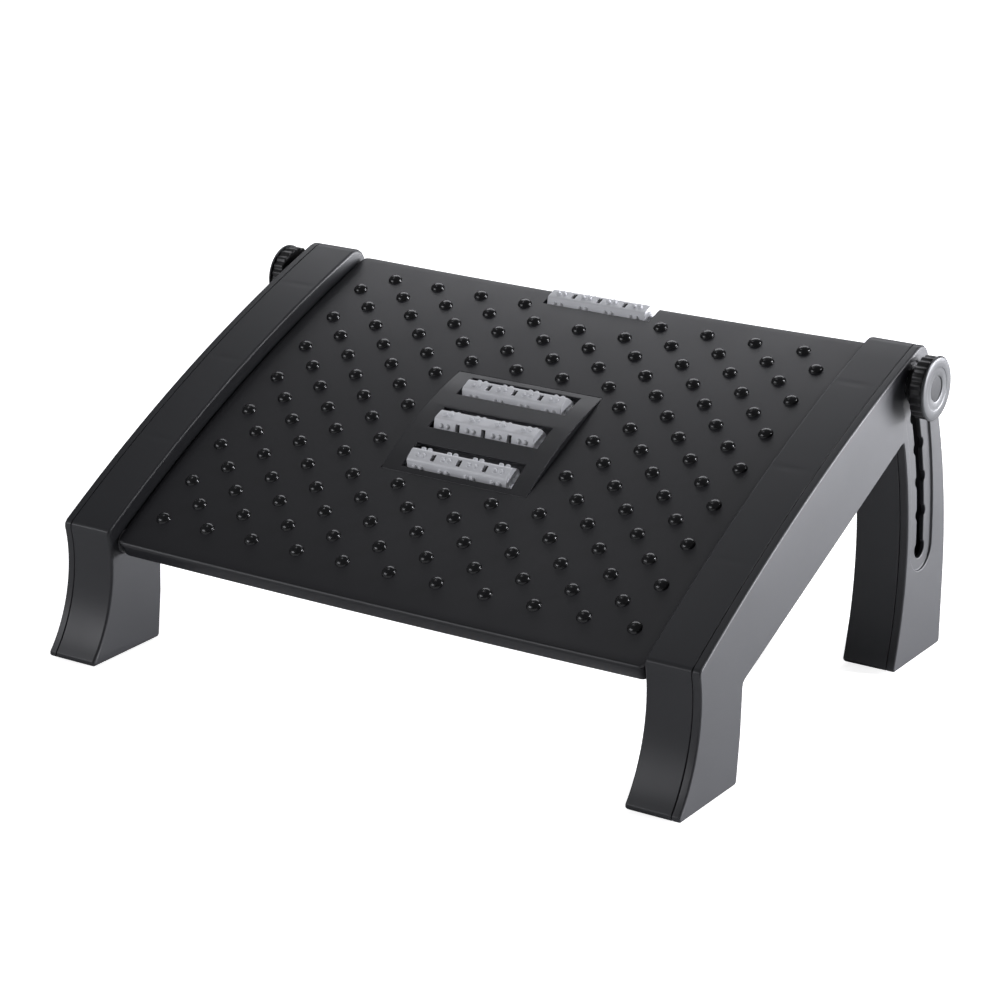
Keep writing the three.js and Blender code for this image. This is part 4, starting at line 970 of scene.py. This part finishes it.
# %% [markdown]
# ## Floor and backdrop
#
# The footrest stands on a plain white sweep. A real sweep is lit until it burns out to white. Here the
# camera sees the floor and the backdrop brighter than the object does, so they are white in the picture
# and still don't flood the dark plastic with light, and the floor keeps the object's shadow.

# %% Floor and backdrop
FLOOR_HALF, FLOOR_DROP = 6.0, 0.0005
WORLD_DIM, FLOOR_GLOW = 0.11, 0.84
WHITE = (1, 1, 1, 1)


def seen_by_camera(tree, socket, otherwise, seen):
    """Gives a socket one value for rays from the camera and another one for all the rest."""
    paths = add_node(tree, "LightPath")
    pick = add_node(tree, "MapRange", To_Min=otherwise, To_Max=seen)
    tree.links.new(paths.outputs["Is Camera Ray"], pick.inputs["Value"])
    tree.links.new(pick.outputs["Result"], socket)


white = bpy.data.materials.new("white_sweep")
white.use_nodes = True
sweep = white.node_tree.nodes["Principled BSDF"]
sweep.inputs["Base Color"].default_value = (0.9, 0.9, 0.9, 1)
sweep.inputs["Roughness"].default_value = 0.9
sweep.inputs["Specular IOR Level"].default_value = 0.1
sweep.inputs["Emission Color"].default_value = WHITE
seen_by_camera(white.node_tree, sweep.inputs["Emission Strength"], 0.0, FLOOR_GLOW)

floor_mesh = bpy.data.meshes.new("floor")
corner_signs = ((-1, -1), (1, -1), (1, 1), (-1, 1))
floor_corners = [(x * FLOOR_HALF, y * FLOOR_HALF, -FLOOR_DROP) for x, y in corner_signs]
floor_mesh.from_pydata(floor_corners, [], [(0, 1, 2, 3)])
floor_mesh.materials.append(white)
floor = bpy.data.objects.new("floor", floor_mesh)
bpy.context.scene.collection.objects.link(floor)

world = bpy.data.worlds.new("studio")
bpy.context.scene.world = world
world.use_nodes = True
backdrop = world.node_tree.nodes["Background"]
backdrop.inputs["Color"].default_value = WHITE
seen_by_camera(world.node_tree, backdrop.inputs["Strength"], WORLD_DIM, 1.0)
print("floor half width", FLOOR_HALF, "m, world at", WORLD_DIM)

# %% [markdown]
# ## Lamps
#
# Black plastic shows what it mirrors more than its own colour, so the lamps are placed by what each one
# should be seen in. A long low softbox at the right lights the leg frames' flat sides and stays under
# the deck's plane, so that the left rail's inner side stays dark. A large one behind shines along the
# deck and fades towards the front. Two small lamps, one overhead and one at the right, give each nub its
# two points of light, and the right one also draws the bright line on the rails' edges. A weak one
# fills the legs' fronts.

# %% Lamps
LAMP_TINT = (0.95, 0.955, 1.0)


def lamp(name, place, target, width, height, power):
    """An area lamp at a place, turned to look at a target; metres and watts."""
    light = bpy.data.lights.new(name, "AREA")
    light.shape, light.size, light.size_y, light.energy = "RECTANGLE", width, height, power
    light.color = LAMP_TINT
    holder = bpy.data.objects.new(name, light)
    holder.location = place
    holder.rotation_euler = (Vector(target) - Vector(place)).to_track_quat("-Z", "Y").to_euler()
    bpy.context.scene.collection.objects.link(holder)
    print("lamp", name, power, "W")


lamp("right_softbox", (1.75, 1.45, 0.3), (0.2, 0, 0.1), 1.5, 0.5, 112)
lamp("rear_softbox", (-0.75, 1.8, 1.6), (0, 0, 0.15), 2.2, 1.0, 17.5)
lamp("overhead", (-1.05, 0.1, 2.2), (0, 0, 0.15), 0.17, 0.17, 1.3)
lamp("edge_light", (1.8, 1.0, 1.25), (0, 0, 0.15), 0.25, 0.25, 22)
lamp("front_fill", (-1.25, -1.75, 0.95), (0, 0, 0.1), 1.3, 0.8, 15.5)

# %% [markdown]
# ## Camera
#
# The camera is a long lens at the photograph's angle. Its place and turn were fitted to the nubs, the
# frames' outlines and the knob, so what it looks at is a point a little off the middle. A matrix of
# three directions and a place sets it without rounding any angle.

# %% Camera
AZIMUTH, ELEVATION, ROLL = (math.radians(a) for a in (32.601, 18.754, 0.443))
FOCAL_PIXELS, FRAME_PIXELS, SENSOR = 3113.34, 1002, 36.0
LOOK_AT, DISTANCE = (28.084, -42.0, 122.577), 1995.7

level = math.cos(ELEVATION)
back = Vector((math.sin(AZIMUTH) * level, -math.cos(AZIMUTH) * level, math.sin(ELEVATION)))
right_level = Vector((math.cos(AZIMUTH), math.sin(AZIMUTH), 0))
up_level = back.cross(right_level)
right = math.cos(ROLL) * right_level + math.sin(ROLL) * up_level
upwards = math.cos(ROLL) * up_level - math.sin(ROLL) * right_level
eye = (Vector(LOOK_AT) + back * DISTANCE) * MM
lens = bpy.data.cameras.new("camera")
lens.sensor_fit, lens.sensor_width = "HORIZONTAL", SENSOR
lens.lens = FOCAL_PIXELS / FRAME_PIXELS * SENSOR
camera = bpy.data.objects.new("camera", lens)
turn = Matrix((right, upwards, back)).transposed().to_4x4()
camera.matrix_world = Matrix.Translation(eye) @ turn
bpy.context.scene.collection.objects.link(camera)
bpy.context.scene.camera = camera
bpy.context.scene.view_settings.view_transform = "Standard"
print("camera at", [round(v, 4) for v in eye], "lens", round(lens.lens, 2))
